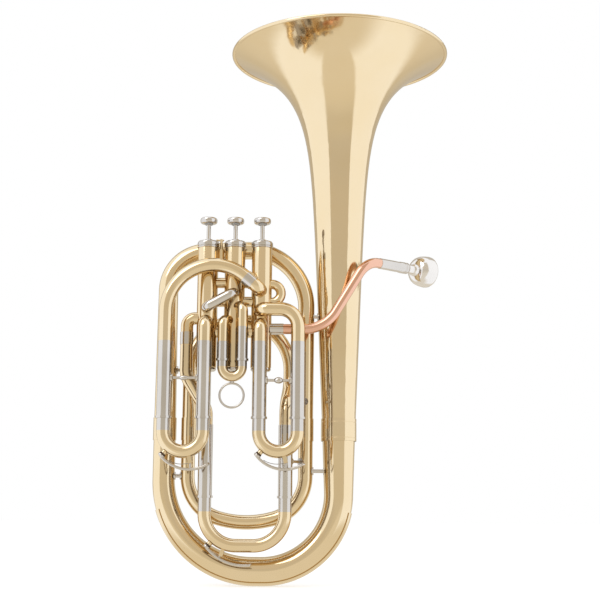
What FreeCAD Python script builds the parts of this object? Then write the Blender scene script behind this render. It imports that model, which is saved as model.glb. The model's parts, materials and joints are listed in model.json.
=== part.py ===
import FreeCAD, Part, Sketcher
import math
import os

V = FreeCAD.Vector

os.makedirs("parts", exist_ok=True)
doc = FreeCAD.newDocument("BaritoneHorn")

# Driving dimensions, in millimetres and degrees. +Z points out of the bell, the player's side is -Y.
SIZES = {
    # bell, a spun flare on the right-hand side
    "overall_width": 322.2,
    "bell_rim_radius": 122.0,
    "bell_rim_z": 590.8,
    "bell_throat_radius": 17.9,
    "bell_cone_slope": 0.041,
    "bell_flare_length": 39.5,
    "bell_wall": 0.7,
    "bell_bead_radius": 1.9,
    "bell_rest_width": 1.2,
    # big branches
    "ferrule_wall": 0.7,
    "ferrule_length": 24.0,
    "ferrule_z": 165.0,
    "left_branch_radius": 11.8,
    "right_branch_radius": 7.9,
    "bow_low_z": 15.7,
    "bow_entry_radius": 15.6,
    "bow_middle_radius": 14.8,
    "branch_wall": 0.6,
    "guard_wall": 0.9,
    "guard_half_width": 10.0,
    "guard_top_z": 84.0,
    "right_branch_x": 3.3,
    "top_bow_top_z": 366.0,
    "inner_bow_low_z": 66.3,
    "inner_left_x": -122.8,
    "inner_left_radius": 7.4,
    "back_loop_top_z": 284.0,
    "back_loop_right_x": -14.0,
    # valves
    "valve_spacing": 29.1,
    "middle_valve_x": -74.2,
    "valve_y": -31.0,
    "casing_radius": 9.8,
    "casing_wall": 1.0,
    "piston_clearance": 0.04,
    "casing_bottom_z": 226.5,
    "casing_top_z": 366.4,
    "cap_height": 7.0,
    "cap_wall": 1.0,
    "bottom_cap_height": 14.0,
    "piston_length": 96.0,
    "piston_wall": 0.8,
    "piston_top_drop": 12.0,
    "spring_room": 8.0,
    "port_radius": 5.2,
    "knuckle_radius": 5.6,
    "knuckle_wall": 0.6,
    "low_knuckle_z": 266.0,
    "middle_knuckle_z": 299.5,
    "high_knuckle_z": 320.0,
    "stem_radius": 2.3,
    "stem_exposed": 17.0,
    "button_radius": 8.8,
    "button_height": 4.6,
    "felt_radius": 6.0,
    "felt_height": 1.2,
    "spring_wire_radius": 0.4,
    "spring_turns": 7.0,
    # tuning slides
    "slide_bore_radius": 6.5,
    "slide_wall": 0.5,
    "slide_clearance": 0.05,
    "ring_wall": 0.9,
    "ring_height": 2.4,
    "front_y": -49.8,
    "third_left_x": -145.2,
    "third_right_x": -103.9,
    "first_left_x": -45.6,
    "first_right_x": -5.6,
    "outer_tube_top_z": 254.0,
    "front_ring_z": 172.5,
    "front_slide_end_z": 160.0,
    "front_bow_straight": 1.0,
    "main_y": -23.5,
    "main_left_x": -102.5,
    "main_right_x": -17.9,
    "main_tube_top_z": 168.3,
    "main_ring_z": 91.5,
    "main_slide_end_z": 77.4,
    "main_bow_low_z": 42.4,
    "main_bow_bend": 33.0,
    "second_left_x": -85.0,
    "second_right_x": -64.3,
    "second_bore_radius": 4.8,
    "second_left_top_z": 254.0,
    "second_right_top_z": 270.0,
    "second_ring_z": 233.5,
    "second_slide_end_z": 227.5,
    "second_bow_straight": 0.4,
    "slide_engaged": 70.0,
    "main_engaged": 68.0,
    "second_engaged": 17.0,
    "pull_ring_radius": 12.3,
    "pull_ring_wire": 1.15,
    # elbows, return tubes and compensating tubes
    "elbow_bend": 7.4,
    "elbow_step": 0.2,
    "elbow_thickening": 0.3,
    "third_elbow_z": 275.9,
    "first_elbow_z": 273.0,
    "first_return_z": 288.9,
    "first_return_bend": 19.0,
    "third_arch_bend": 50.0,
    "third_arch_slope": 40.0,
    "third_arch_start_z": 286.0,
    "third_return_x": -46.4,
    "second_left_elbow_z": 278.0,
    "second_right_elbow_z": 293.0,
    "comp_radius": 5.5,
    "comp_wall": 0.5,
    "comp_left_z": 290.8,
    "comp_right_z": 306.9,
    "comp_loop_top_z": 318.8,
    "comp_loop_low_z": 299.1,
    "comp_loop_reach": 11.0,
    "comp_loop_step": 0.3,
    # exit tube
    "exit_radius": 6.5,
    "exit_z": 281.2,
    "exit_x": -124.4,
    # leadpipe, receiver and mouthpiece
    "leadpipe_radius": 5.4,
    "leadpipe_wall": 0.5,
    "leadpipe_z": 270.2,
    "leadpipe_y": -33.0,
    "leadpipe_first_turn_x": 23.0,
    "leadpipe_second_turn_x": 68.1,
    "leadpipe_top_z": 340.3,
    "receiver_start": 18.5,
    "receiver_length": 42.0,
    "receiver_radius": 6.2,
    "mouthpiece_azimuth": 40.0,
    "mouthpiece_insert": 24.0,
    "shank_radius": 4.9,
    "shank_exposed": 7.7,
    "cup_length": 26.0,
    "rim_radius": 17.5,
    "cup_radius": 12.8,
    "throat_radius": 3.2,
    # braces
    "brace_radius": 2.0,
    "flange_radius": 4.2,
    "flange_wall": 0.9,
    # water keys
    "key_width": 4.0,
    "key_thickness": 2.2,
    "key_pivot_radius": 1.9,
    "key_pin_radius": 0.9,
    "key_pin_clearance": 0.05,
    "saddle_gap": 0.3,
    "nipple_radius": 2.8,
    "nipple_height": 2.2,
    "cork_radius": 3.2,
    "cork_height": 2.6,
    "cork_gap": 0.05,
    "cork_cup_rim": 0.5,
    "cork_cup_height": 1.2,
    "nipple_wall": 0.9,
    "nipple_seat": 1.5,
    "ear_thickness": 1.3,
    "ear_half_width": 2.1,
    "ear_height": 6.2,
    "ear_seat": 1.6,
    "key_pin_reach": 0.8,
    "key_pivot_height": 4.2,
    "key_web_half": 1.0,
    "key_bow_lift": 2.8,
    "key_bow_angle": 14.0,
    "key_tip_share": 0.75,
    "key_pad_angle": 229.0,
    "front_key_pivot_angle": 285.0,
    "front_key_end_angle": 306.0,
    "front_key_rise": 7.5,
    "main_key_pivot_angle": 251.0,
    "main_key_end_angle": 285.0,
    "main_key_rise": 5.5,
    # soldered sleeves
    "solder_gap": 0.02,
    "ferrule_line_radius": 0.4,
    "ferrule_line_reach": 8.4,
    "joint_wall": 0.6,
    "exit_joint_low_z": 252.8,
    "exit_joint_length": 13.2,
    "return_joint_length": 11.0,
    "lead_joint_length": 14.5,
    # bends of the long tubes
    "back_loop_turn_z": 214.0,
    "back_loop_join_z": 188.0,
    "back_loop_bend": 30.0,
    "exit_turn_z": 219.0,
    "exit_join_z": 184.0,
    "exit_first_bend": 8.5,
    "exit_second_bend": 24.0,
    "exit_third_bend": 20.0,
    "leadpipe_first_bend": 40.0,
    "leadpipe_second_bend": 25.0,
    "comp_bend": 6.2,
    "second_elbow_bend": 7.0,
    # heights of the braces
    "third_brace_z": 215.0,
    "first_brace_z": 213.0,
    "slide_brace_waist": 1.5,
    "third_brace_bulge": 2.6,
    "first_brace_bulge": 3.4,
    "slide_brace_bulge_length": 9.0,
    "upper_right_brace_z": 288.6,
    "lower_right_brace_z": 121.0,
    "upper_left_brace_z": 229.1,
    "lower_left_brace_z": 115.0,
    "main_slide_bar_z": 130.4,
    "first_slide_bar_z": 195.0,
    # turned edges
    "cap_edge": 0.3,
    "cap_lid": 2.2,
    "cap_step": 0.6,
    "cap_boss": 2.4,
    "cap_boss_top": 2.0,
    "stem_clearance": 0.4,
    "bottom_cap_drop": 2.0,
    "bottom_cap_hole": 2.4,
    "bottom_cap_round": 1.4,
    "bottom_cap_flare": 0.5,
    "bottom_cap_flare_height": 4.0,
    "button_foot_radius": 4.0,
    "button_edge": 1.2,
    "button_foot_height": 0.9,
    "button_dish": 0.4,
    "receiver_taper": 0.35,
    "receiver_bead": 0.4,
    "shank_clearance": 0.05,
    "shank_flare": 1.0,
    "cup_wall": 3.0,
}

# Sizes that follow from the ones above, as formulas on the same sheet.
DERIVED = {
    "bell_x": "overall_width / 2 - bell_rim_radius",
    "left_x": "left_branch_radius + ferrule_wall - overall_width / 2",
    "valve_1_x": "middle_valve_x + valve_spacing",
    "valve_2_x": "middle_valve_x",
    "valve_3_x": "middle_valve_x - valve_spacing",
    "casing_bore_radius": "casing_radius - casing_wall",
    "casing_height": "casing_top_z - cap_height - casing_bottom_z",
    "piston_radius": "casing_bore_radius - piston_clearance",
    "piston_top_z": "casing_top_z - cap_height - piston_top_drop",
    "piston_bottom_z": "piston_top_z - piston_length",
    "button_bottom_z": "casing_top_z + stem_exposed",
    "stem_length": "stem_exposed + cap_height + piston_top_drop",
    "cap_radius": "casing_radius + cap_wall",
    "slide_inner_radius": "slide_bore_radius + slide_wall",
    "slide_outer_radius": "slide_inner_radius + slide_clearance + slide_wall",
    "second_inner_radius": "second_bore_radius + slide_wall",
    "second_outer_radius": "second_inner_radius + slide_clearance + slide_wall",
    "second_y": "front_y + 2",
    "front_leg_top_z": "front_ring_z + slide_engaged",
    "main_leg_top_z": "main_ring_z + main_engaged",
    "second_leg_top_z": "second_ring_z + second_engaged",
    "low_ferrule_z": "ferrule_z - ferrule_length / 2",
    "bell_ferrule_bore": "bell_throat_radius + bell_cone_slope * ferrule_length / 2 + solder_gap + 0.05",
    "bell_ferrule_radius": "bell_ferrule_bore + ferrule_wall",
    "receiver_seat": "receiver_length - mouthpiece_insert - 0.5",
    "receiver_bore": "shank_radius + shank_clearance",
    "lead_bore": "leadpipe_radius - leadpipe_wall",
    "shank_end": "mouthpiece_insert + shank_exposed",
    "cup_end": "shank_end + cup_length",
}

sheet = doc.addObject("Spreadsheet::Sheet", "Sizes")
for row, (alias, value) in enumerate(SIZES.items(), start=1):
    sheet.set(f"A{row}", alias)
    sheet.set(f"B{row}", str(value))
    sheet.setAlias(f"B{row}", alias)
for row, (alias, formula) in enumerate(DERIVED.items(), start=len(SIZES) + 1):
    sheet.set(f"A{row}", alias)
    sheet.set(f"B{row}", "=" + formula)
    sheet.setAlias(f"B{row}", alias)
doc.recompute()


def size(alias):
    """Read one driving dimension back from the spreadsheet."""
    return float(sheet.get(alias))


bell_x = size("bell_x")
left_x = size("left_x")
valve_x = {number: size(f"valve_{number}_x") for number in (1, 2, 3)}
valve_y = size("valve_y")
front_y = size("front_y")
main_y = size("main_y")
slide_inner_radius = size("slide_inner_radius")
slide_outer_radius = size("slide_outer_radius")

nodes = []


# ---------------------------------------------------------------- builders
def node(obj, label):
    """Give a sub-part its own label and list it for export."""
    obj.Label = label
    nodes.append(obj)
    return obj


def shaped(label, shape, base=V(0, 0, 0)):
    """A sub-part whose shape comes from Part functions, placed at its own base point."""
    obj = doc.addObject("Part::Feature", label)
    to_base = FreeCAD.Placement(-base, FreeCAD.Rotation())
    solids = []
    for solid in shape.Solids:
        solid.Placement = to_base * solid.Placement
        solids.append(solid)
    obj.Shape = Part.makeCompound(solids)
    obj.Placement = FreeCAD.Placement(base, FreeCAD.Rotation())
    return node(obj, label)


def bind(obj, **formulas):
    """Tie properties of a sub-part to the sheet; x, y and z are its place."""
    for name, formula in formulas.items():
        target = f".Placement.Base.{name}" if name in "xyz" else name
        obj.setExpression(target, formula)


def bound_cylinder(name, radius, height, x, y, z):
    """A Part::Cylinder whose sizes and place are expressions on the sheet."""
    cylinder = doc.addObject("Part::Cylinder", name)
    bind(cylinder, Radius=radius, Height=height, x=x, y=y, z=z)
    return cylinder


def cut_objects(name, base, tool):
    cut = doc.addObject("Part::Cut", name)
    cut.Base = base
    cut.Tool = tool
    return cut


def bound_ring(name, outer, inner, height, x, y, z):
    """A plain tube: two bound cylinders, one cut from the other."""
    outside = bound_cylinder(name + "_outside", outer, height, x, y, z)
    inside = bound_cylinder(name + "_bore", inner, height, x, y, z)
    return cut_objects(name, outside, inside)


def several(name, parts):
    """Like pieces that belong to one sub-part and don't touch."""
    group = doc.addObject("Part::Compound", name)
    group.Links = parts
    return node(group, name)


outlines = doc.addObject("Spreadsheet::Sheet", "Outlines")
outline_rows = []


def corner_values(label, corners):
    """Write an outline's corners on the second sheet as formulas and read them back as numbers."""
    first = len(outline_rows) + 1
    for corner in corners:
        outline_rows.append(label)
        row = len(outline_rows)
        outlines.set(f"A{row}", label)
        outlines.set(f"B{row}", "=" + corner[0])
        outlines.set(f"C{row}", "=" + corner[1])
    outlines.recompute()
    rows = range(first, first + len(corners))
    return first, [V(float(outlines.get(f"B{row}")), float(outlines.get(f"C{row}")), 0) for row in rows]


def hold(sketch, geometry, point, row, corner, formulas):
    """Hold one sketch point at its distance from the axis and its height."""
    for kind, column, value, formula, axis in (
        ("DistanceX", "B", corner.x, formulas[0], -2),
        ("DistanceY", "C", corner.y, formulas[1], -1),
    ):
        if formula == "0":
            sketch.addConstraint(Sketcher.Constraint("PointOnObject", geometry, point, axis))
        else:
            index = sketch.addConstraint(Sketcher.Constraint(kind, -1, 1, geometry, point, value))
            sketch.setExpression(f"Constraints[{index}]", f"Outlines.{column}{row}")


def turned_body(label, corners):
    """A turned piece: one closed outline, sketched and revolved about its own upright axis.

    Each corner is a pair of formulas, radius and height; a third entry marks the middle of an arc.
    """
    body = doc.addObject("PartDesign::Body", label)
    sketch = body.newObject("Sketcher::SketchObject", label + "_outline")
    plane = next(f for f in body.Origin.OriginFeatures if f.Role == "XZ_Plane")
    sketch.AttachmentSupport = [(plane, "")]
    sketch.MapMode = "FlatFace"
    first, points = corner_values(label, corners)
    count = len(corners)
    edges = []
    i = 0
    while i < count:
        after = (i + 1) % count
        if len(corners[after]) == 3:
            end = (i + 2) % count
            arc = Part.Arc(points[i], points[after], points[end])
            edge = sketch.addGeometry(arc)
            # an arc runs anticlockwise in a sketch, so its first point may be either corner
            starts_here = sketch.getPoint(edge, 1).distanceToPoint(points[i]) < 1e-6
            middle = sketch.addGeometry(Part.Point(points[after]), True)
            hold(sketch, middle, 1, first + after, points[after], corners[after])
            sketch.addConstraint(Sketcher.Constraint("PointOnObject", middle, 1, edge))
            edges.append((edge, 1 if starts_here else 2, 2 if starts_here else 1, i))
            i += 2
        else:
            edge = sketch.addGeometry(Part.LineSegment(points[i], points[after]))
            edges.append((edge, 1, 2, i))
            i += 1
    for this, (edge, start, end, corner) in enumerate(edges):
        following = edges[(this + 1) % len(edges)]
        sketch.addConstraint(Sketcher.Constraint("Coincident", edge, end, following[0], following[1]))
        hold(sketch, edge, start, first + corner, points[corner], corners[corner])
    turning = body.newObject("PartDesign::Revolution", label + "_turned")
    turning.Profile = sketch
    turning.ReferenceAxis = (sketch, ["V_Axis"])
    turning.Angle = 360.0
    sketch.Visibility = False
    return node(body, label)


def route(points, bends):
    """Straight runs joined by tangent arcs, one bend radius for each inner point."""
    edges = []
    start = points[0]
    for i, bend in enumerate(bends, start=1):
        corner = points[i]
        back = (points[i - 1] - corner).normalize()
        ahead = (points[i + 1] - corner).normalize()
        half = back.getAngle(ahead) / 2
        reach = bend / math.tan(half)
        first = corner + back * reach
        last = corner + ahead * reach
        middle_way = (back + ahead).normalize()
        middle = corner + middle_way * (bend / math.sin(half) - bend)
        if (first - start).Length > 0.01:
            edges.append(Part.makeLine(start, first))
        edges.append(Part.Arc(first, middle, last).toShape())
        start = last
    if (points[-1] - start).Length > 0.01:
        edges.append(Part.makeLine(start, points[-1]))
    return Part.Wire(edges)


def section(point, way, radius):
    return Part.Wire(Part.makeCircle(radius, point, way))


def swept_arc(edge, radius, end_radius):
    """A round bar along one arc: a revolved disc, or a swept taper where the radius changes."""
    start = edge.valueAt(edge.FirstParameter)
    way = edge.tangentAt(edge.FirstParameter)
    if abs(end_radius - radius) < 1e-6:
        disc = Part.Face(section(start, way, radius))
        circle = edge.Curve
        axis = (start - circle.Center).cross(way)
        turn = math.degrees(edge.Length / circle.Radius)
        return disc.revolve(circle.Center, axis, turn)
    end = edge.valueAt(edge.LastParameter)
    end_way = edge.tangentAt(edge.LastParameter)
    shell = Part.BRepOffsetAPI.MakePipeShell(Part.Wire(edge))
    shell.add(section(start, way, radius))
    shell.add(section(end, end_way, end_radius))
    shell.build()
    shell.makeSolid()
    swept = shell.shape()
    if swept.Volume < 0:
        swept.reverse()
    return swept


def swept_line(edge, radius, end_radius):
    start = edge.valueAt(edge.FirstParameter)
    way = edge.tangentAt(edge.FirstParameter)
    if abs(end_radius - radius) < 1e-6:
        return Part.makeCylinder(radius, edge.Length, start, way)
    return Part.makeCone(radius, end_radius, edge.Length, start, way)


def runs_of(wire, radius, end_radius=None):
    """The bars of a round section along each edge of a wire, tapering evenly to an end radius."""
    if end_radius is None:
        end_radius = radius
    bars = []
    done = 0.0
    for edge in wire.Edges:
        first = radius + (end_radius - radius) * done / wire.Length
        done += edge.Length
        last = radius + (end_radius - radius) * done / wire.Length
        build = swept_line if edge.Curve.TypeId == "Part::GeomLine" else swept_arc
        bars.append(build(edge, first, last))
    return bars


def joined(pieces):
    return pieces[0].multiFuse(pieces[1:]) if len(pieces) > 1 else pieces[0]


def rod(wire, radius, end_radius=None):
    """A solid round bar along a wire."""
    return joined(runs_of(wire, radius, end_radius))


def tube(wire, radius, wall, end_radius=None):
    """An open tube of even wall along a wire."""
    inside_end = None if end_radius is None else end_radius - wall
    outside = runs_of(wire, radius, end_radius)
    inside = runs_of(wire, radius - wall, inside_end)
    return joined([bar.cut(core) for bar, core in zip(outside, inside)])


def straight(start, end, radius, wall=None):
    way = end - start
    outside = Part.makeCylinder(radius, way.Length, start, way)
    if wall is None:
        return outside
    return outside.cut(Part.makeCylinder(radius - wall, way.Length, start, way))


def turned(profile, base, way=V(0, 0, 1)):
    """Revolve a closed outline of (radius, height) points; a point of three numbers is an arc's middle."""
    edges = []
    points = [V(p[0], 0, p[1]) for p in profile]
    arcs = [len(p) == 3 for p in profile]
    count = len(profile)
    i = 0
    while i < count:
        nxt = (i + 1) % count
        if arcs[nxt]:
            after = (i + 2) % count
            edges.append(Part.Arc(points[i], points[nxt], points[after]).toShape())
            i += 2
        else:
            edges.append(Part.makeLine(points[i], points[nxt]))
            i += 1
    face = Part.Face(Part.Wire(edges))
    solid = face.revolve(V(0, 0, 0), V(0, 0, 1), 360)
    if solid.Volume < 0:
        solid.reverse()
    solid.Placement = FreeCAD.Placement(base, FreeCAD.Rotation(V(0, 0, 1), way))
    return solid


def casing_solid(number):
    """The full outside of one valve casing, for seating tubes on it."""
    height = size("casing_top_z") - size("casing_bottom_z")
    return Part.makeCylinder(
        size("casing_radius"), height, V(valve_x[number], valve_y, size("casing_bottom_z"))
    )


# ---------------------------------------------------------------- bell
def bell_radius(z):
    """Radius of the spun bell: a slow cone with an exponential flare."""
    cone = size("bell_throat_radius") + size("bell_cone_slope") * (z - size("ferrule_z"))
    top = size("bell_rim_z") - size("bell_bead_radius")
    cone_at_top = size("bell_throat_radius") + size("bell_cone_slope") * (top - size("ferrule_z"))
    flare = size("bell_rim_radius") - size("bell_bead_radius") - cone_at_top
    return cone + flare * math.exp((z - top) / size("bell_flare_length"))


def bell_curve(offset):
    bottom = size("ferrule_z")
    top = size("bell_rim_z") - size("bell_bead_radius")
    points = []
    for step in range(25):
        share = 1 - (1 - step / 24) ** 2
        z = bottom + (top - bottom) * share
        points.append(V(bell_radius(z) - offset, 0, z))
    curve = Part.BSplineCurve()
    curve.interpolate(points)
    return curve.toShape()


def bell():
    outside = bell_curve(0)
    inside = bell_curve(size("bell_wall"))
    edges = [outside, inside]
    for i in (0, 1):
        edges.append(Part.makeLine(outside.Vertexes[i].Point, inside.Vertexes[i].Point))
    wall = Part.Face(Part.Wire(Part.__sortEdges__(edges)))
    flare = wall.revolve(V(0, 0, 0), V(0, 0, 1), 360)
    if flare.Volume < 0:
        flare.reverse()
    # the rolled bead, dressed to a narrow flat on top where the horn is set down on its bell
    bead_radius = size("bell_bead_radius")
    ring_radius = size("bell_rim_radius") - bead_radius
    rim_z = size("bell_rim_z")
    half = size("bell_rest_width") / 2
    flat_angle = math.asin(half / bead_radius)
    low = rim_z - bead_radius * math.cos(flat_angle)
    bead = turned(
        [
            (ring_radius - half, rim_z),
            (ring_radius, low - bead_radius, 0),
            (ring_radius + half, rim_z),
        ],
        V(0, 0, 0),
    )
    solid = flare.fuse(bead).removeSplitter()
    solid.translate(V(bell_x, 0, 0))
    return solid


bell_base = V(bell_x, 0, size("ferrule_z"))
shaped("bell", bell(), bell_base)

ferrule_corners = [
    ("Sizes.bell_ferrule_bore", "-Sizes.ferrule_length / 2"),
    ("Sizes.bell_ferrule_radius", "-Sizes.ferrule_length / 2"),
]
for side in ("-", ""):
    reach = f"{side}Sizes.ferrule_line_reach"
    ferrule_corners.append(("Sizes.bell_ferrule_radius", f"{reach} - Sizes.ferrule_line_radius"))
    ferrule_corners.append(("Sizes.bell_ferrule_radius - Sizes.ferrule_line_radius / 2", reach, "arc"))
    ferrule_corners.append(("Sizes.bell_ferrule_radius", f"{reach} + Sizes.ferrule_line_radius"))
ferrule_corners.append(("Sizes.bell_ferrule_radius", "Sizes.ferrule_length / 2"))
ferrule_corners.append(("Sizes.bell_ferrule_bore", "Sizes.ferrule_length / 2"))
bell_ferrule = turned_body("bell_ferrule", ferrule_corners)
bind(bell_ferrule, x="Sizes.bell_x", z="Sizes.ferrule_z")


# ---------------------------------------------------------------- branches and bows
bow_radius = (bell_x - left_x) / 2
bow_x = (bell_x + left_x) / 2
bow_z = size("bow_low_z") + bow_radius
ferrule_z = size("ferrule_z")
low_ferrule = size("low_ferrule_z")
left_radius = size("left_branch_radius")


def bottom_bow_runs():
    """Right leg, two quarter bends and left leg, each with its radius at both ends."""
    entry = size("bow_entry_radius")
    middle = size("bow_middle_radius")
    throat = size("bell_throat_radius")
    diagonal = bow_radius * math.sqrt(0.5)
    right = V(bell_x, 0, bow_z)
    bottom = V(bow_x, 0, bow_z - bow_radius)
    left = V(left_x, 0, bow_z)
    first_middle = V(bow_x + diagonal, 0, bow_z - diagonal)
    last_middle = V(bow_x - diagonal, 0, bow_z - diagonal)
    return [
        (Part.Wire(Part.makeLine(V(bell_x, 0, ferrule_z), right)), throat, entry),
        (Part.Wire(Part.Arc(right, first_middle, bottom).toShape()), entry, middle),
        (Part.Wire(Part.Arc(bottom, last_middle, left).toShape()), middle, left_radius),
        (Part.Wire(Part.makeLine(left, V(left_x, 0, ferrule_z))), left_radius, left_radius),
    ]


def bottom_bow_solid():
    return joined([rod(wire, first, last) for wire, first, last in bottom_bow_runs()])


def bottom_bow():
    thickness = size("branch_wall")
    return joined([tube(wire, first, thickness, last) for wire, first, last in bottom_bow_runs()])


def bow_guard():
    """A strip soldered along the outside of the bottom bow."""
    band = size("guard_half_width")
    top = size("guard_top_z")
    skins = []
    for wire, first, last in bottom_bow_runs()[1:3]:
        outside = rod(wire, first + size("guard_wall"), last + size("guard_wall"))
        skins.append(outside.cut(rod(wire, first + size("solder_gap"), last + size("solder_gap"))))
    skin = skins[0].fuse(skins[1])
    region = Part.makeBox(3 * bow_radius, 2 * band, top, V(bow_x - 1.5 * bow_radius, -band, -2))
    hub = Part.makeCylinder(bow_radius, 2 * band + 2, V(bow_x, -band - 1, bow_z), V(0, 1, 0))
    return skin.common(region.cut(hub))


shaped("bottom_bow", bottom_bow(), V(bow_x, 0, bow_z))
shaped("bow_guard", bow_guard(), V(bow_x, 0, bow_z))

right_x = size("right_branch_x")
right_radius = size("right_branch_radius")
wall = size("branch_wall")
top_bow_radius = (right_x - left_x) / 2
top_bow_wire = route(
    [
        V(left_x, 0, ferrule_z),
        V(left_x, 0, size("top_bow_top_z")),
        V(right_x, 0, size("top_bow_top_z")),
        V(right_x, 0, ferrule_z),
    ],
    [top_bow_radius, top_bow_radius],
)
shaped("top_bow", tube(top_bow_wire, left_radius, wall, right_radius), V(left_x, 0, ferrule_z))

inner_x = size("inner_left_x")
inner_radius = size("inner_left_radius")
inner_bow_radius = (right_x - inner_x) / 2
inner_bow_wire = route(
    [
        V(right_x, 0, ferrule_z),
        V(right_x, 0, size("inner_bow_low_z")),
        V(inner_x, 0, size("inner_bow_low_z")),
        V(inner_x, 0, ferrule_z),
    ],
    [inner_bow_radius, inner_bow_radius],
)
shaped("inner_bow", tube(inner_bow_wire, right_radius, wall, inner_radius), V(right_x, 0, ferrule_z))

main_top = size("main_tube_top_z")
loop_x = size("back_loop_right_x")
loop_bend = (loop_x - inner_x) / 2
back_loop_wire = route(
    [
        V(inner_x, 0, ferrule_z),
        V(inner_x, 0, size("back_loop_top_z")),
        V(loop_x, 0, size("back_loop_top_z")),
        V(loop_x, 0, size("back_loop_turn_z")),
        V(size("main_right_x"), main_y, size("back_loop_join_z")),
        V(size("main_right_x"), main_y, main_top),
    ],
    [loop_bend, loop_bend, size("back_loop_bend"), size("back_loop_bend")],
)
shaped("back_loop", tube(back_loop_wire, inner_radius, wall, slide_inner_radius), V(inner_x, 0, ferrule_z))


top_bow_rod = rod(top_bow_wire, left_radius, right_radius)
inner_bow_rod = rod(inner_bow_wire, right_radius, inner_radius)
back_loop_rod = rod(back_loop_wire, inner_radius, slide_inner_radius)


def collar(x, radius, *tubes):
    """A joint ferrule round a branch, bored to the tubes that it holds."""
    base = V(x, 0, low_ferrule)
    ferrule = Part.makeCylinder(radius + size("ferrule_wall"), size("ferrule_length"), base)
    ferrule = ferrule.cut(Part.makeCylinder(radius, size("ferrule_length"), base))
    for held in tubes:
        ferrule = ferrule.cut(held)
    return ferrule


shaped(
    "branch_ferrules",
    Part.makeCompound(
        [
            collar(left_x, left_radius, top_bow_rod),
            collar(right_x, right_radius, top_bow_rod, inner_bow_rod),
            collar(inner_x, inner_radius, inner_bow_rod, back_loop_rod),
        ]
    ),
    V(left_x, 0, low_ferrule),
)


# ---------------------------------------------------------------- valves
casing_radius = size("casing_radius")
bore_radius = size("casing_bore_radius")
casing_bottom = size("casing_bottom_z")
piston_bottom = size("piston_bottom_z")


def port_list(number):
    """Ports of one casing: direction out of the casing and height."""
    front = V(0, -1, 0)
    right = V(1, 0, 0)
    left = V(-1, 0, 0)
    lists = {
        1: [
            (right, size("leadpipe_z"), size("leadpipe_radius") - size("leadpipe_wall")),
            (front, size("first_elbow_z"), size("port_radius")),
            (front, size("first_return_z"), size("port_radius")),
            (right, size("comp_loop_top_z"), size("comp_radius") - size("comp_wall")),
            (right, size("comp_loop_low_z"), size("comp_radius") - size("comp_wall")),
        ],
        2: [
            (front, size("second_left_elbow_z"), size("second_bore_radius")),
            (front, size("second_right_elbow_z"), size("second_bore_radius")),
            (front, size("comp_right_z"), size("comp_radius") - size("comp_wall")),
        ],
        3: [
            (left, size("exit_z"), size("port_radius")),
            (front, size("third_elbow_z"), size("port_radius")),
            (front, size("comp_left_z"), size("comp_radius") - size("comp_wall")),
        ],
    }
    return lists[number]


knuckle_heights = (size("low_knuckle_z"), size("middle_knuckle_z"), size("high_knuckle_z"))
knuckle_bore = size("knuckle_radius") - size("knuckle_wall")
neighbour_ways = {1: (-1,), 2: (-1, 1), 3: (1,)}


def openings(number):
    """Every hole of one valve: its own ports and the knuckles to its neighbours."""
    holes = list(port_list(number))
    for z in knuckle_heights:
        for side in neighbour_ways[number]:
            holes.append((V(side, 0, 0), z, knuckle_bore))
    return holes


def ports(number):
    """The drills for every hole of one valve."""
    drills = []
    for way, z, radius in openings(number):
        centre = V(valve_x[number], valve_y, z)
        drills.append(Part.makeCylinder(radius, casing_radius + 1, centre, way))
    return drills


def drilled(name, blank, number):
    """A bound blank with the valve's holes cut through it."""
    drills = doc.addObject("Part::Feature", name + "_drills")
    drills.Shape = Part.makeCompound(ports(number))
    return node(cut_objects(name, blank, drills), name)


def casing(number):
    blank = bound_ring(
        f"casing_{number}_blank",
        "Sizes.casing_radius",
        "Sizes.casing_bore_radius",
        "Sizes.casing_height",
        f"Sizes.valve_{number}_x",
        "Sizes.valve_y",
        "Sizes.casing_bottom_z",
    )
    return drilled(f"valve_casing_{number}", blank, number)


def piston(number):
    """A piston bored to match its casing's ports, with room for the spring in its foot."""
    place = (f"Sizes.valve_{number}_x", "Sizes.valve_y", "Sizes.piston_bottom_z")
    full = bound_cylinder(f"piston_{number}_bar", "Sizes.piston_radius", "Sizes.piston_length", *place)
    room_radius = "Sizes.piston_radius - Sizes.piston_wall"
    room = bound_cylinder(f"piston_{number}_room", room_radius, "Sizes.spring_room", *place)
    blank = cut_objects(f"piston_{number}_blank", full, room)
    return drilled(f"piston_{number}", blank, number)


def top_cap(number):
    """The knurled cap that closes the top of a casing and guides the stem."""
    hole = "Sizes.stem_radius + Sizes.stem_clearance"
    inside = "Sizes.casing_bore_radius - Sizes.cap_step"
    lid = "Sizes.cap_height - Sizes.cap_lid"
    cap = turned_body(
        f"top_cap_{number}",
        [
            (hole, "Sizes.cap_height + Sizes.cap_edge"),
            (hole, lid),
            (inside, lid),
            (inside, "0"),
            ("Sizes.cap_radius", "0"),
            ("Sizes.cap_radius", "Sizes.cap_height - Sizes.cap_edge"),
            ("Sizes.cap_radius - Sizes.cap_edge", "Sizes.cap_height"),
            (f"{hole} + Sizes.cap_boss", "Sizes.cap_height"),
            (f"{hole} + Sizes.cap_boss_top", "Sizes.cap_height + Sizes.cap_edge"),
        ],
    )
    bind(cap, x=f"Sizes.valve_{number}_x", y="Sizes.valve_y", z="Sizes.casing_top_z - Sizes.cap_height")


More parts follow.
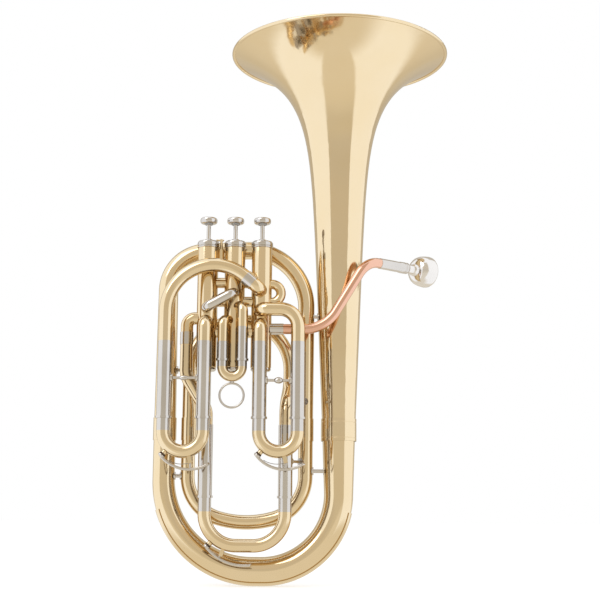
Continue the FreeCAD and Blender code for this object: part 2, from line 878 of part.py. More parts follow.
def bottom_cap(number):
    """The cap screwed on below, which carries the return spring."""
    skirt = "Sizes.cap_radius - Sizes.bottom_cap_flare"
    cap = turned_body(
        f"bottom_cap_{number}",
        [
            ("Sizes.bottom_cap_hole", "0"),
            ("Sizes.cap_radius - Sizes.bottom_cap_round", "0"),
            ("Sizes.cap_radius", "Sizes.bottom_cap_round"),
            (skirt, "Sizes.bottom_cap_flare_height"),
            (skirt, "Sizes.bottom_cap_height"),
            ("Sizes.casing_radius", "Sizes.bottom_cap_height"),
            ("Sizes.casing_radius", "Sizes.bottom_cap_drop"),
            ("Sizes.bottom_cap_hole", "Sizes.bottom_cap_drop"),
        ],
    )
    bind(
        cap,
        x=f"Sizes.valve_{number}_x",
        y="Sizes.valve_y",
        z="Sizes.casing_bottom_z - Sizes.bottom_cap_drop",
    )


def button(number):
    """A finger button: a rounded disc, dished on top to take an inlay."""
    dish = "Sizes.button_height - Sizes.button_dish"
    dish_radius = "Sizes.button_radius - 2 * Sizes.button_edge - Sizes.button_dish"
    top = turned_body(
        f"finger_button_{number}",
        [
            ("0", "0"),
            ("Sizes.button_foot_radius", "0"),
            ("Sizes.button_radius - Sizes.button_edge", "Sizes.button_foot_height"),
            ("Sizes.button_radius", "Sizes.button_height * 0.55", "arc"),
            ("Sizes.button_radius - Sizes.button_edge", "Sizes.button_height"),
            ("Sizes.button_radius - 2 * Sizes.button_edge", "Sizes.button_height"),
            (dish_radius, dish),
            ("0", dish),
        ],
    )
    bind(top, x=f"Sizes.valve_{number}_x", y="Sizes.valve_y", z="Sizes.button_bottom_z")


def spring(number):
    """The return spring under the piston, standing on the bottom cap."""
    x = valve_x[number]
    wire = size("spring_wire_radius")
    low = casing_bottom + wire + 0.02
    high = piston_bottom + size("spring_room") - wire - 0.02
    coil = bore_radius - 2.6
    helix = Part.makeHelix((high - low) / size("spring_turns"), high - low, coil)
    helix.translate(V(x, valve_y, low))
    start = helix.Edges[0]
    profile = section(V(x + coil, valve_y, low), start.tangentAt(start.FirstParameter), wire)
    return Part.Wire(helix).makePipeShell([profile], True, True)


for number in (1, 2, 3):
    x = f"Sizes.valve_{number}_x"
    casing(number)
    top_cap(number)
    bottom_cap(number)
    piston(number)
    place = (x, "Sizes.valve_y", "Sizes.piston_top_z")
    stem = bound_cylinder(f"valve_stem_{number}", "Sizes.stem_radius", "Sizes.stem_length", *place)
    node(stem, f"valve_stem_{number}")
    button(number)
    felt = bound_ring(
        f"button_felt_{number}",
        "Sizes.felt_radius",
        "Sizes.stem_radius",
        "Sizes.felt_height",
        x,
        "Sizes.valve_y",
        "Sizes.button_bottom_z - Sizes.felt_height",
    )
    node(felt, f"button_felt_{number}")
    shaped(f"valve_spring_{number}", spring(number), V(valve_x[number], valve_y, casing_bottom))


def valve_knuckles():
    """Short tubes soldered between neighbouring casings."""
    solids = []
    for left, right in ((3, 2), (2, 1)):
        for z in knuckle_heights:
            start = V(valve_x[left], valve_y, z)
            end = V(valve_x[right], valve_y, z)
            piece = straight(start, end, size("knuckle_radius"), size("knuckle_wall"))
            solids.append(piece.cut(casing_solid(left)).cut(casing_solid(right)))
    return Part.makeCompound(solids)


shaped("valve_knuckles", valve_knuckles(), V(valve_x[2], valve_y, casing_bottom))


# ---------------------------------------------------------------- tuning slides
# an elbow is drawn a little under the sleeve it meets, and a little thicker than the slide tube
elbow_radius = slide_outer_radius - size("elbow_step")
elbow_wall = elbow_radius - slide_inner_radius + size("elbow_thickening")


def sleeves(slide, y, low, tops, inner, outer):
    """The two outer tubes of a slide, each with its ring soldered round the mouth."""
    parts = []
    for side, top in zip(("left", "right"), tops):
        place = (f"Sizes.{slide}_{side}_x", f"Sizes.{y}", f"Sizes.{low}")
        bore = f"Sizes.{inner} + Sizes.slide_clearance"
        height = f"Sizes.{top} - Sizes.{low}"
        name = f"{slide}_{side}_sleeve"
        pipe = bound_ring(name + "_tube", f"Sizes.{outer}", bore, height, *place)
        ring_radius = f"Sizes.{outer} + Sizes.ring_wall"
        ring = bound_ring(name + "_ring", ring_radius, f"Sizes.{outer}", "Sizes.ring_height", *place)
        sleeve = doc.addObject("Part::Fuse", name)
        sleeve.Base = pipe
        sleeve.Tool = ring
        parts.append(sleeve)
    several(f"{slide}_slide_sleeves", parts)


def slide_legs(slide, y, low, top, inner):
    """The two inner tubes of a slide."""
    parts = []
    for side in ("left", "right"):
        parts.append(
            bound_ring(
                f"{slide}_{side}_leg",
                f"Sizes.{inner}",
                f"Sizes.{inner} - Sizes.slide_wall",
                f"Sizes.{top} - Sizes.{low}",
                f"Sizes.{slide}_{side}_x",
                f"Sizes.{y}",
                f"Sizes.{low}",
            )
        )
    several(f"{slide}_slide_legs", parts)


def bow_wire(xs, y, high, low, bend):
    return route([V(xs[0], y, high), V(xs[0], y, low), V(xs[1], y, low), V(xs[1], y, high)], [bend, bend])


def around(centre, angle, distance, y):
    """A point at an angle round a bow's bend, in the bow's own plane."""
    turn = math.radians(angle)
    return V(centre.x + distance * math.cos(turn), y, centre.z + distance * math.sin(turn))


class WaterKey:
    """A sprung lever with a cork that closes the drain nipple under a bow."""

    def __init__(self, label, kind, centre, bow_outer, y):
        self.label = label
        self.centre = centre
        self.bow_outer = bow_outer
        self.y = y
        self.pad_angle = size("key_pad_angle")
        self.pivot_angle = size(f"{kind}_key_pivot_angle")
        self.end_angle = size(f"{kind}_key_end_angle")
        self.rise = size(f"{kind}_key_rise")
        self.pivot = around(centre, self.pivot_angle, bow_outer + size("key_pivot_height"), y)
        self.seat = bow_outer + size("nipple_height")

    def out(self, angle):
        turn = math.radians(angle)
        return V(math.cos(turn), 0, math.sin(turn))

    def block(self, angle, low, high, half, y0, y1):
        """A radial block on the bow between two distances, half its thickness to each side."""
        box = Part.makeBox(high - low, y1 - y0, 2 * half, V(low, y0, -half))
        box.rotate(V(0, 0, 0), V(0, 1, 0), -angle)
        box.translate(V(self.centre.x, self.y, self.centre.z))
        return box

    def nipple(self):
        out = self.out(self.pad_angle)
        seat = size("nipple_seat")
        radius = size("nipple_radius")
        start = self.centre + out * (self.bow_outer - seat)
        start.y = self.y
        length = seat + size("nipple_height")
        drain = Part.makeCylinder(radius, length, start, out)
        hole = Part.makeCylinder(radius - size("nipple_wall"), 3 * length, start - out * length, out)
        return drain.cut(hole)

    def saddle(self):
        """Two ears soldered to the bow with the pivot pin between them."""
        half = size("key_width") / 2 + size("saddle_gap")
        outer = half + size("ear_thickness")
        low = self.bow_outer - size("ear_seat")
        high = self.bow_outer + size("ear_height")
        ears = []
        for y0, y1 in ((-outer, -half), (half, outer)):
            ears.append(self.block(self.pivot_angle, low, high, size("ear_half_width"), y0, y1))
        reach = half + size("key_pin_reach")
        pin_start = self.pivot - V(0, reach, 0)
        pin = Part.makeCylinder(size("key_pin_radius"), 2 * reach, pin_start, V(0, 1, 0))
        return ears[0].multiFuse([ears[1], pin])

    def distance_to(self, circle):
        """How far the lever's arc lies from the bow's centre, measured through the pivot."""
        out = self.out(self.pivot_angle)
        offset = V(self.centre.x, self.y, self.centre.z) - circle.Center
        along = -offset.dot(out)
        return along + math.sqrt(along**2 - offset.Length**2 + circle.Radius**2)

    def lever(self):
        width = size("key_width")
        thick = size("key_thickness")
        pad = self.seat + size("cork_height") + size("cork_gap") + thick / 2
        start = around(self.centre, self.pad_angle, pad, self.y)
        middle_angle = self.pivot_angle - size("key_bow_angle")
        middle = around(self.centre, middle_angle, pad + size("key_bow_lift"), self.y)
        end = around(self.centre, self.end_angle, pad + self.rise, self.y)
        arc = Part.Arc(start, middle, end).toShape()
        way = arc.tangentAt(arc.FirstParameter)
        side = way.cross(V(0, 1, 0)).normalize() * (thick / 2)
        across = V(0, width / 2, 0)
        near, far = start - across, start + across
        corners = [near - side, near + side, far + side, far - side, near - side]
        bar = Part.Wire(arc).makePipeShell([Part.makePolygon(corners)], True, False)
        barrel_start = self.pivot - V(0, width / 2, 0)
        barrel = Part.makeCylinder(size("key_pivot_radius"), width, barrel_start, V(0, 1, 0))
        reach = self.distance_to(arc.Curve)
        low = self.bow_outer + size("key_pivot_height")
        web = self.block(self.pivot_angle, low, reach, size("key_web_half"), -width / 2, width / 2)
        cup_base = around(self.centre, self.pad_angle, pad - thick / 2, self.y)
        cup_radius = size("cork_radius") + size("cork_cup_rim")
        cup = Part.makeCylinder(cup_radius, size("cork_cup_height"), cup_base, self.out(self.pad_angle))
        end_way = arc.tangentAt(arc.LastParameter)
        end_side = end_way.cross(V(0, 1, 0)).normalize() * (thick / 2)
        tip = Part.makeCylinder(width * size("key_tip_share"), thick, end - end_side, end_side)
        solid = bar.multiFuse([barrel, web, cup, tip])
        hole = size("key_pin_radius") + size("key_pin_clearance")
        solid = solid.cut(Part.makeCylinder(hole, width + 2, barrel_start - V(0, 1, 0), V(0, 1, 0)))
        cork_base = around(self.centre, self.pad_angle, self.seat + size("cork_gap"), self.y)
        way = self.out(self.pad_angle)
        cork = Part.makeCylinder(size("cork_radius"), size("cork_height"), cork_base, way)
        return Part.makeCompound([solid, cork])


def slide_bow(xs, y, high, low, bend, radius, key=None):
    """The brass bow of a slide, with its drain nipple and the saddle of its water key."""
    wire = bow_wire(xs, y, high, low, bend)
    bow = tube(wire, radius, size("slide_wall"))
    if key is None:
        return bow
    inside = rod(wire, radius - size("slide_wall") / 2)
    return bow.multiFuse([key.nipple().cut(inside), key.saddle().cut(inside)])


third_xs = (size("third_left_x"), size("third_right_x"))
first_xs = (size("first_left_x"), size("first_right_x"))
second_xs = (size("second_left_x"), size("second_right_x"))
main_xs = (size("main_left_x"), size("main_right_x"))
tube_top = size("outer_tube_top_z")
front_end = size("front_slide_end_z")

for name, xs in (("third", third_xs), ("first", first_xs)):
    bend = (xs[1] - xs[0]) / 2
    front_low = front_end - size("front_bow_straight") - bend
    centre = V((xs[0] + xs[1]) / 2, 0, front_low + bend)
    key = WaterKey(f"{name}_water_key", "front", centre, bend + slide_inner_radius, front_y)
    tops = ("outer_tube_top_z", "outer_tube_top_z")
    sleeves(name, "front_y", "front_ring_z", tops, "slide_inner_radius", "slide_outer_radius")
    slide_legs(name, "front_y", "front_slide_end_z", "front_leg_top_z", "slide_inner_radius")
    bow = slide_bow(xs, front_y, front_end, front_low, bend, slide_inner_radius, key)
    shaped(f"{name}_slide_bow", bow, V(centre.x, front_y, front_end))
    shaped(key.label, key.lever(), key.pivot)

main_centre = V(
    main_xs[0] + size("main_bow_bend"), 0, size("main_bow_low_z") + size("main_bow_bend")
)
main_outer = size("main_bow_bend") + slide_inner_radius
main_key = WaterKey("main_water_key", "main", main_centre, main_outer, main_y)
main_end = size("main_slide_end_z")
tops = ("main_tube_top_z", "main_tube_top_z")
sleeves("main", "main_y", "main_ring_z", tops, "slide_inner_radius", "slide_outer_radius")
slide_legs("main", "main_y", "main_slide_end_z", "main_leg_top_z", "slide_inner_radius")
main_bow = slide_bow(
    main_xs, main_y, main_end, size("main_bow_low_z"), size("main_bow_bend"), slide_inner_radius, main_key
)
shaped("main_slide_bow", main_bow, V(main_xs[0], main_y, main_end))
shaped("main_water_key", main_key.lever(), main_key.pivot)

second_inner = size("second_inner_radius")
second_outer = size("second_outer_radius")
second_end = size("second_slide_end_z")
second_y = size("second_y")
second_bend = (second_xs[1] - second_xs[0]) / 2
second_low = second_end - size("second_bow_straight") - second_bend
second_tops = (size("second_left_top_z"), size("second_right_top_z"))
tops = ("second_left_top_z", "second_right_top_z")
sleeves("second", "second_y", "second_ring_z", tops, "second_inner_radius", "second_outer_radius")
slide_legs("second", "second_y", "second_slide_end_z", "second_leg_top_z", "second_inner_radius")
shaped(
    "second_slide_bow",
    slide_bow(second_xs, second_y, second_end, second_low, second_bend, second_inner),
    V(second_xs[0], second_y, second_end),
)


def pull_ring():
    """A wire ring on a small saddle under the second slide's bow."""
    x = (second_xs[0] + second_xs[1]) / 2
    wire = size("pull_ring_wire")
    radius = size("pull_ring_radius") - wire
    under = second_low - second_inner
    centre = V(x, second_y, under - radius - wire - 0.6)
    ring = Part.makeTorus(radius, wire, centre, V(0, 1, 0))
    foot = Part.makeBox(7.0, 3.6, 3.4, V(x - 3.5, second_y - 1.8, under - 1.6))
    bow_rod = rod(bow_wire(second_xs, second_y, second_end, second_low, second_bend), second_inner)
    return ring.fuse(foot).cut(bow_rod)


shaped("pull_ring", pull_ring(), V((second_xs[0] + second_xs[1]) / 2, second_y, second_low))

# ---------------------------------------------------------------- elbows and fixed tubes
elbow_bend = size("elbow_bend")


def into_casing(piece, number):
    return piece.cut(casing_solid(number))


def front_elbow(x, y, low, high, number, radius, thickness, bend):
    """From a slide tube upwards, then back into the front of a casing."""
    wire = route([V(x, y, low), V(x, y, high), V(valve_x[number], valve_y, high)], [bend])
    return into_casing(tube(wire, radius, thickness), number)


elbows = []
for x, z, number in ((third_xs[1], size("third_elbow_z"), 3), (first_xs[0], size("first_elbow_z"), 1)):
    elbows.append(front_elbow(x, front_y, tube_top, z, number, elbow_radius, elbow_wall, elbow_bend))
second_elbow_radius = second_outer - size("elbow_step")
second_elbow_wall = second_elbow_radius - second_inner + size("elbow_thickening")
for side, x, top in zip(("left", "right"), second_xs, second_tops):
    z = size(f"second_{side}_elbow_z")
    bend = size("second_elbow_bend")
    elbows.append(front_elbow(x, second_y, top, z, 2, second_elbow_radius, second_elbow_wall, bend))
shaped("slide_elbows", Part.makeCompound(elbows), V(valve_x[2], front_y, tube_top))


def third_return_wire():
    """Up from the left leg, over a wide arch and down a long slope to the first valve."""
    slope = math.radians(size("third_arch_slope"))
    bend = size("third_arch_bend")
    turn = (math.pi / 2 + slope) / 2
    peak = size("third_arch_start_z") + bend * math.tan(turn)
    left = third_xs[0]
    right = size("third_return_x")
    return route(
        [
            V(left, front_y, tube_top),
            V(left, front_y, peak),
            V(right, front_y, peak - (right - left) * math.tan(slope)),
            V(right, valve_y, peak - (right - left) * math.tan(slope)),
        ],
        [bend, elbow_bend],
    )


third_return = third_return_wire()
shaped(
    "third_return_tube",
    into_casing(tube(third_return, elbow_radius, elbow_wall), 1),
    V(third_xs[0], front_y, tube_top),
)

first_return_wire = route(
    [
        V(first_xs[1], front_y, tube_top),
        V(first_xs[1], front_y, size("first_return_z")),
        V(valve_x[1], front_y, size("first_return_z")),
        V(valve_x[1], valve_y, size("first_return_z")),
    ],
    [size("first_return_bend"), elbow_bend],
)
shaped(
    "first_return_tube",
    into_casing(tube(first_return_wire, elbow_radius, elbow_wall), 1),
    V(first_xs[1], front_y, tube_top),
)


def compensating_tubes():
    """The two small extra loops that correct the third valve's pitch."""
    radius = size("comp_radius")
    thickness = size("comp_wall")
    y = front_y + 1.0
    diagonal = route(
        [
            V(valve_x[3], valve_y, size("comp_left_z")),
            V(valve_x[3], y, size("comp_left_z")),
            V(valve_x[2], y, size("comp_right_z")),
            V(valve_x[2], valve_y, size("comp_right_z")),
        ],
        [size("comp_bend"), size("comp_bend")],
    )
    crossing = tube(diagonal, radius, thickness).cut(casing_solid(3)).cut(casing_solid(2))
    top = size("comp_loop_top_z")
    low = size("comp_loop_low_z")
    bend = (top - low) / 2
    reach = valve_x[1] + casing_radius + size("comp_loop_reach")
    x = valve_x[1]
    corners = [V(x, valve_y, top), V(reach, valve_y, top), V(reach, valve_y, low), V(x, valve_y, low)]
    loop = route(corners, [bend, bend])
    small_loop = into_casing(tube(loop, radius - size("comp_loop_step"), thickness), 1)
    return Part.makeCompound([crossing, small_loop])


shaped("compensating_tubes", compensating_tubes(), V(valve_x[2], front_y, size("comp_left_z")))

exit_wire = route(
    [
        V(valve_x[3], valve_y, size("exit_z")),
        V(size("exit_x"), valve_y, size("exit_z")),
        V(size("exit_x"), valve_y, size("exit_turn_z")),
        V(main_xs[0], main_y, size("exit_join_z")),
        V(main_xs[0], main_y, main_top),
    ],
    [size("exit_first_bend"), size("exit_second_bend"), size("exit_third_bend")],
)
shaped(
    "exit_tube",
    into_casing(tube(exit_wire, size("exit_radius"), wall, slide_inner_radius), 3),
    V(size("exit_x"), valve_y, size("exit_z")),
)

# ---------------------------------------------------------------- leadpipe, receiver and mouthpiece
azimuth = math.radians(size("mouthpiece_azimuth"))
blow_way = V(math.cos(azimuth), math.sin(azimuth), 0)
lead_y = size("leadpipe_y")
second_turn = V(size("leadpipe_second_turn_x"), lead_y, size("leadpipe_top_z"))
receiver_base = second_turn + blow_way * size("receiver_start")
leadpipe_wire = route(
    [
        V(valve_x[1], valve_y, size("leadpipe_z")),
        V(size("leadpipe_first_turn_x"), lead_y, size("leadpipe_z")),
        second_turn,
        receiver_base,
    ],
    [size("leadpipe_first_bend"), size("leadpipe_second_bend")],
)
lead_radius = size("leadpipe_radius")
shaped(
    "leadpipe",
    into_casing(tube(leadpipe_wire, lead_radius, size("leadpipe_wall")), 1),
    V(valve_x[1], valve_y, size("leadpipe_z")),
)


def along_leadpipe(body, start):
    """Stand a turned piece on the end of the leadpipe, pointing at the player."""
    body.Placement = FreeCAD.Placement(start, FreeCAD.Rotation(V(0, 0, 1), blow_way))


receiver = turned_body(
    "mouthpiece_receiver",
    [
        ("Sizes.receiver_bore", "Sizes.receiver_length"),
        ("Sizes.receiver_bore - Sizes.receiver_taper", "Sizes.receiver_seat"),
        ("Sizes.lead_bore", "Sizes.receiver_seat"),
        ("Sizes.lead_bore", "0"),
        ("Sizes.leadpipe_radius + 0.3", "0"),
        ("Sizes.leadpipe_radius + 0.5", "Sizes.receiver_length * 0.55"),
        ("Sizes.receiver_radius - 0.3", "Sizes.receiver_length * 0.72"),
        ("Sizes.receiver_radius", "Sizes.receiver_length * 0.85"),
        ("Sizes.receiver_radius - Sizes.receiver_bead", "Sizes.receiver_length - 4 * Sizes.receiver_bead"),
        ("Sizes.receiver_radius - 2 * Sizes.receiver_bead", "Sizes.receiver_length"),
    ],
)
along_leadpipe(receiver, receiver_base)

# the mouthpiece: tapered shank, bowl-shaped cup and rounded rim
tip = "Sizes.shank_radius - Sizes.receiver_taper"
mouthpiece = turned_body(
    "mouthpiece",
    [
        (f"{tip} - 0.6", "0"),
        (tip, "0"),
        ("Sizes.shank_radius", "Sizes.mouthpiece_insert"),
        ("Sizes.shank_radius + 0.2", "Sizes.shank_end"),
        ("Sizes.shank_radius + Sizes.shank_flare", "Sizes.shank_end + Sizes.shank_flare"),
        ("Sizes.shank_radius + 2.2 * Sizes.shank_flare", "Sizes.shank_end + 5 * Sizes.shank_flare"),
        ("Sizes.rim_radius - 5.5", "Sizes.shank_end + Sizes.cup_length * 0.46", "arc"),
        ("Sizes.rim_radius - Sizes.cup_wall", "Sizes.shank_end + Sizes.cup_length * 0.71"),
        ("Sizes.rim_radius - 0.6", "Sizes.cup_end - 4.2"),
        ("Sizes.rim_radius", "Sizes.cup_end - 2.2", "arc"),
        ("Sizes.rim_radius - 1.2", "Sizes.cup_end - 0.6"),
        ("Sizes.rim_radius - 2.8", "Sizes.cup_end", "arc"),
        ("Sizes.cup_radius", "Sizes.cup_end - 1.4"),
        ("Sizes.cup_radius - 1.4", "Sizes.shank_end + Sizes.cup_length * 0.54", "arc"),
        ("Sizes.throat_radius", "Sizes.shank_end + 4"),
        ("Sizes.throat_radius", "Sizes.shank_end - 4"),
    ],
)
along_leadpipe(mouthpiece, receiver_base + blow_way * (size("receiver_length") - size("mouthpiece_insert")))


def small_ferrules():
    """Short nickel joints on the exit tube, the third return tube and the leadpipe."""
    joint_wall = size("joint_wall")
    exit_low = V(size("exit_x"), valve_y, size("exit_joint_low_z"))
    exit_high = exit_low + V(0, 0, size("exit_joint_length"))
    exit_joint = straight(exit_low, exit_high, size("exit_radius") + joint_wall, joint_wall)
    slope = math.radians(size("third_arch_slope"))
    way = V(math.cos(slope), 0, -math.sin(slope))
    runs = [edge for edge in third_return.Edges if edge.Curve.TypeId == "Part::GeomLine"]
    run = max(runs, key=lambda edge: edge.BoundBox.XLength)
    middle = run.valueAt((run.FirstParameter + run.LastParameter) / 2)
    reach = way * (size("return_joint_length") / 2)
    return_joint = straight(middle - reach, middle + reach, elbow_radius + joint_wall, joint_wall)
    lead_way = (leadpipe_wire.Vertexes[1].Point - leadpipe_wire.Vertexes[0].Point).normalize()
    lead_start = leadpipe_wire.Vertexes[0].Point + lead_way * (casing_radius - 0.4)
    lead_end = lead_start + lead_way * size("lead_joint_length")
    lead_joint = straight(lead_start, lead_end, lead_radius + joint_wall, joint_wall)
    exit_joint = exit_joint.cut(rod(exit_wire, size("exit_radius"), slide_inner_radius))
    return Part.makeCompound([exit_joint, return_joint, into_casing(lead_joint, 1)])


shaped("small_ferrules", small_ferrules(), V(size("exit_x"), valve_y, size("exit_z")))


# ---------------------------------------------------------------- braces
def brace(start, end, radius, waist, flange):
    """A turned strut between two tubes, with a flange at each end, seated by cutting the tubes away."""
    way = (end - start).normalize()
    rod_shape = Part.makeCylinder(waist, (end - start).Length, start, way)
    first = Part.makeCylinder(flange, radius[0] + size("flange_wall"), start, way)
    last = Part.makeCylinder(flange, radius[1] + size("flange_wall"), end, -way)
    solid = rod_shape.multiFuse([first, last])
    return solid


def between_tubes(xs, y, z, radius, waist, bulge):
    """A baluster brace between two slide sleeves."""
    start = V(xs[0], y, z)
    length = xs[1] - xs[0]
    middle = length / 2
    flange = size("flange_radius")
    seat = radius + size("flange_wall")
    shoulder = seat + 0.6
    half_bulge = size("slide_brace_bulge_length") / 2
    profile = [
        (0, 0),
        (flange, 0),
        (flange, seat),
        (waist, shoulder),
        (waist, middle - half_bulge),
        (bulge, middle, 0),
        (waist, middle + half_bulge),
        (waist, length - shoulder),
        (flange, length - seat),
        (flange, length),
        (0, length),
    ]
    solid = turned(profile, start, V(1, 0, 0))
    for x in xs:
        solid = solid.cut(Part.makeCylinder(radius, 4 * flange, V(x, y, z - 2 * flange)))
    return solid


def braces():
    upper = size("upper_right_brace_z")
    low = size("lower_right_brace_z")
    reach = 2 * size("flange_radius")
    below = upper - reach
    above = upper + reach
    bell_solid = turned(
        [(0, below), (bell_radius(below), below), (bell_radius(above), above), (0, above)], V(bell_x, 0, 0)
    )
    bow_solid = bottom_bow_solid()
    waist = size("slide_brace_waist")
    pieces = []
    for slide, xs in (("third", third_xs), ("first", first_xs)):
        z = size(f"{slide}_brace_z")
        bulge = size(f"{slide}_brace_bulge")
        pieces.append(between_tubes(xs, front_y, z, slide_outer_radius, waist, bulge))
    pairs = []
    for z, far_radius, tubes in (
        (upper, bell_radius(upper), [top_bow_rod, bell_solid]),
        (low, size("bow_entry_radius"), [inner_bow_rod, bow_solid]),
    ):
        pairs.append((V(right_x, 0, z), V(bell_x, 0, z), (right_radius, far_radius), tubes))
    for z, tubes in (
        (size("upper_left_brace_z"), [top_bow_rod, back_loop_rod]),
        (size("lower_left_brace_z"), [bow_solid, inner_bow_rod]),
    ):
        pairs.append((V(left_x, 0, z), V(inner_x, 0, z), (left_radius, inner_radius), tubes))
    for start, end, radius, tubes in pairs:
        piece = brace(start, end, radius, size("brace_radius"), size("flange_radius"))
        for other in tubes:
            piece = piece.cut(other)
        pieces.append(piece)
    for x, y, z in (
        (main_xs[1], main_y, size("main_slide_bar_z")),
        (first_xs[1], front_y, size("first_slide_bar_z")),
    ):
        bar_start = V(x, y, z)
        bar_end = V(right_x, 0, z)
        bar = brace(bar_start, bar_end, (slide_outer_radius, right_radius), waist, size("flange_radius"))
        bar = bar.cut(inner_bow_rod).cut(top_bow_rod)
        bar = bar.cut(Part.makeCylinder(slide_outer_radius, 2 * reach, bar_start - V(0, 0, reach)))
        pieces.append(bar)
    return Part.makeCompound(pieces)


shaped("braces", braces(), V(right_x, 0, ferrule_z))


# ---------------------------------------------------------------- check and export
doc.recompute()
for obj in doc.Objects:
    if "Invalid" in obj.State or "Error" in obj.State:
        raise RuntimeError(f"{obj.Label} failed to recompute")
for obj in nodes:
    if obj.Shape.isNull() or not obj.Shape.isValid():
        raise RuntimeError(f"{obj.Label} has no valid shape")
for obj in nodes:
    obj.Shape.exportStep(f"parts/{obj.Label}.step")
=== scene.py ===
import json
import math

import bmesh
import bpy
from mathutils import Matrix, Vector


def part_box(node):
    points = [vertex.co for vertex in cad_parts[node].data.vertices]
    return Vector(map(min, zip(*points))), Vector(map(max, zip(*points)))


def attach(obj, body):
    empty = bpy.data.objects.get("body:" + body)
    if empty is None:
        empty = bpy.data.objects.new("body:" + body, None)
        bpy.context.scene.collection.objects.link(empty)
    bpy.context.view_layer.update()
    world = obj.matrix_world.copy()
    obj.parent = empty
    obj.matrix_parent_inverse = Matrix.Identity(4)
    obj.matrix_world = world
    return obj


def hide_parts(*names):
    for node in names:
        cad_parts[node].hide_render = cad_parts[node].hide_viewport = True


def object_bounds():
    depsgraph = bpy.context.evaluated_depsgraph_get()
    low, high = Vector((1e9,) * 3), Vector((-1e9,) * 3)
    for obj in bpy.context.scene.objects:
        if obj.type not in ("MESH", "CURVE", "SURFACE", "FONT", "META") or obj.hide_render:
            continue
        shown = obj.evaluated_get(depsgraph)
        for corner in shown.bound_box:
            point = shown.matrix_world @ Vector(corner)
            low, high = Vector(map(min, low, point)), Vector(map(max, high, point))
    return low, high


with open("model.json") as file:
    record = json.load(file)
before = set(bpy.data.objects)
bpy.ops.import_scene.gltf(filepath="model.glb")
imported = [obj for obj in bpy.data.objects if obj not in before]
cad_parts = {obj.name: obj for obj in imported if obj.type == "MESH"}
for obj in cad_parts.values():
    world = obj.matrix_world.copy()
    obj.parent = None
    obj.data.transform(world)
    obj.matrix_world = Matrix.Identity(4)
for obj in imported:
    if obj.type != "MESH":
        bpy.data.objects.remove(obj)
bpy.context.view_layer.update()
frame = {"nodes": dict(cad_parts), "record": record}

nodes = frame["nodes"]
mm = 0.001

# Camera. A long lens a metre and a third in front of the horn, tipped up a little
# so that the rim of the bell is seen from just below, and turned a hair off level.
tip_up = math.radians(10.125)
camera_distance = 1.3591
roll = math.radians(0.441)
sight = Vector((0.0, math.cos(tip_up), math.sin(tip_up)))
low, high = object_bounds()
looked_at = Vector(((low.x + high.x) / 2 - 3.77 * mm, 0.0, (low.z + high.z) / 2 + 12.2 * mm))
camera_data = bpy.data.cameras.new("camera")
camera_data.lens = 74.11
camera_data.sensor_width = 36.0
camera = bpy.data.objects.new("camera", camera_data)
bpy.context.scene.collection.objects.link(camera)
bpy.context.scene.camera = camera
camera.location = looked_at - sight * camera_distance
camera.rotation_mode = "QUATERNION"
off_level = Matrix.Rotation(roll, 3, "Z").to_quaternion()
camera.rotation_quaternion = sight.to_track_quat("-Z", "Y") @ off_level
bpy.context.scene.view_settings.view_transform = "Standard"


# Room. A pale floor that runs into a white surround, and matt warm boards that
# only the polished metal sees, one behind the camera and one behind the horn.
# They leave a mid-toned band down every tube between two white ones.
def add_node(tree, kind, place=(0, 0), **settings):
    item = tree.nodes.new(kind)
    item.location = place
    for key, value in settings.items():
        setattr(item, key, value)
    return item


def wire(tree, source, output, target, entry):
    tree.links.new(source.outputs[output], target.inputs[entry])


def plain_tree(holder):
    holder.use_nodes = True
    holder.node_tree.nodes.clear()
    return holder.node_tree


def seen_directly(tree):
    """1 for rays that show the background itself: camera, mirror and glass rays."""
    rays = add_node(tree, "ShaderNodeLightPath", (-900, 0))
    first = add_node(tree, "ShaderNodeMath", (-700, 0), operation="MAXIMUM")
    both = add_node(tree, "ShaderNodeMath", (-520, 0), operation="MAXIMUM")
    wire(tree, rays, "Is Camera Ray", first, 0)
    wire(tree, rays, "Is Glossy Ray", first, 1)
    wire(tree, first, 0, both, 0)
    wire(tree, rays, "Is Transmission Ray", both, 1)
    return both


world = bpy.data.worlds.new("white_surround")
bpy.context.scene.world = world
tree = plain_tree(world)
shown = seen_directly(tree)
level = add_node(tree, "ShaderNodeMapRange", (-320, 0))
level.inputs["To Min"].default_value = 0.72
level.inputs["To Max"].default_value = 1.0
sky = add_node(tree, "ShaderNodeBackground", (-120, 0))
sky.inputs["Color"].default_value = (1.0, 1.0, 1.0, 1.0)
output = add_node(tree, "ShaderNodeOutputWorld", (80, 0))
wire(tree, shown, 0, level, "Value")
wire(tree, level, 0, sky, "Strength")
wire(tree, sky, 0, output, "Surface")


def between(tree, source, output, first, last, low, high, place):
    """A smooth step of one value from low to high between two others."""
    step = add_node(tree, "ShaderNodeMapRange", place, interpolation_type="SMOOTHSTEP")
    for entry, value in (("From Min", first), ("From Max", last), ("To Min", low), ("To Max", high)):
        step.inputs[entry].default_value = value
    wire(tree, source, output, step, "Value")
    return step


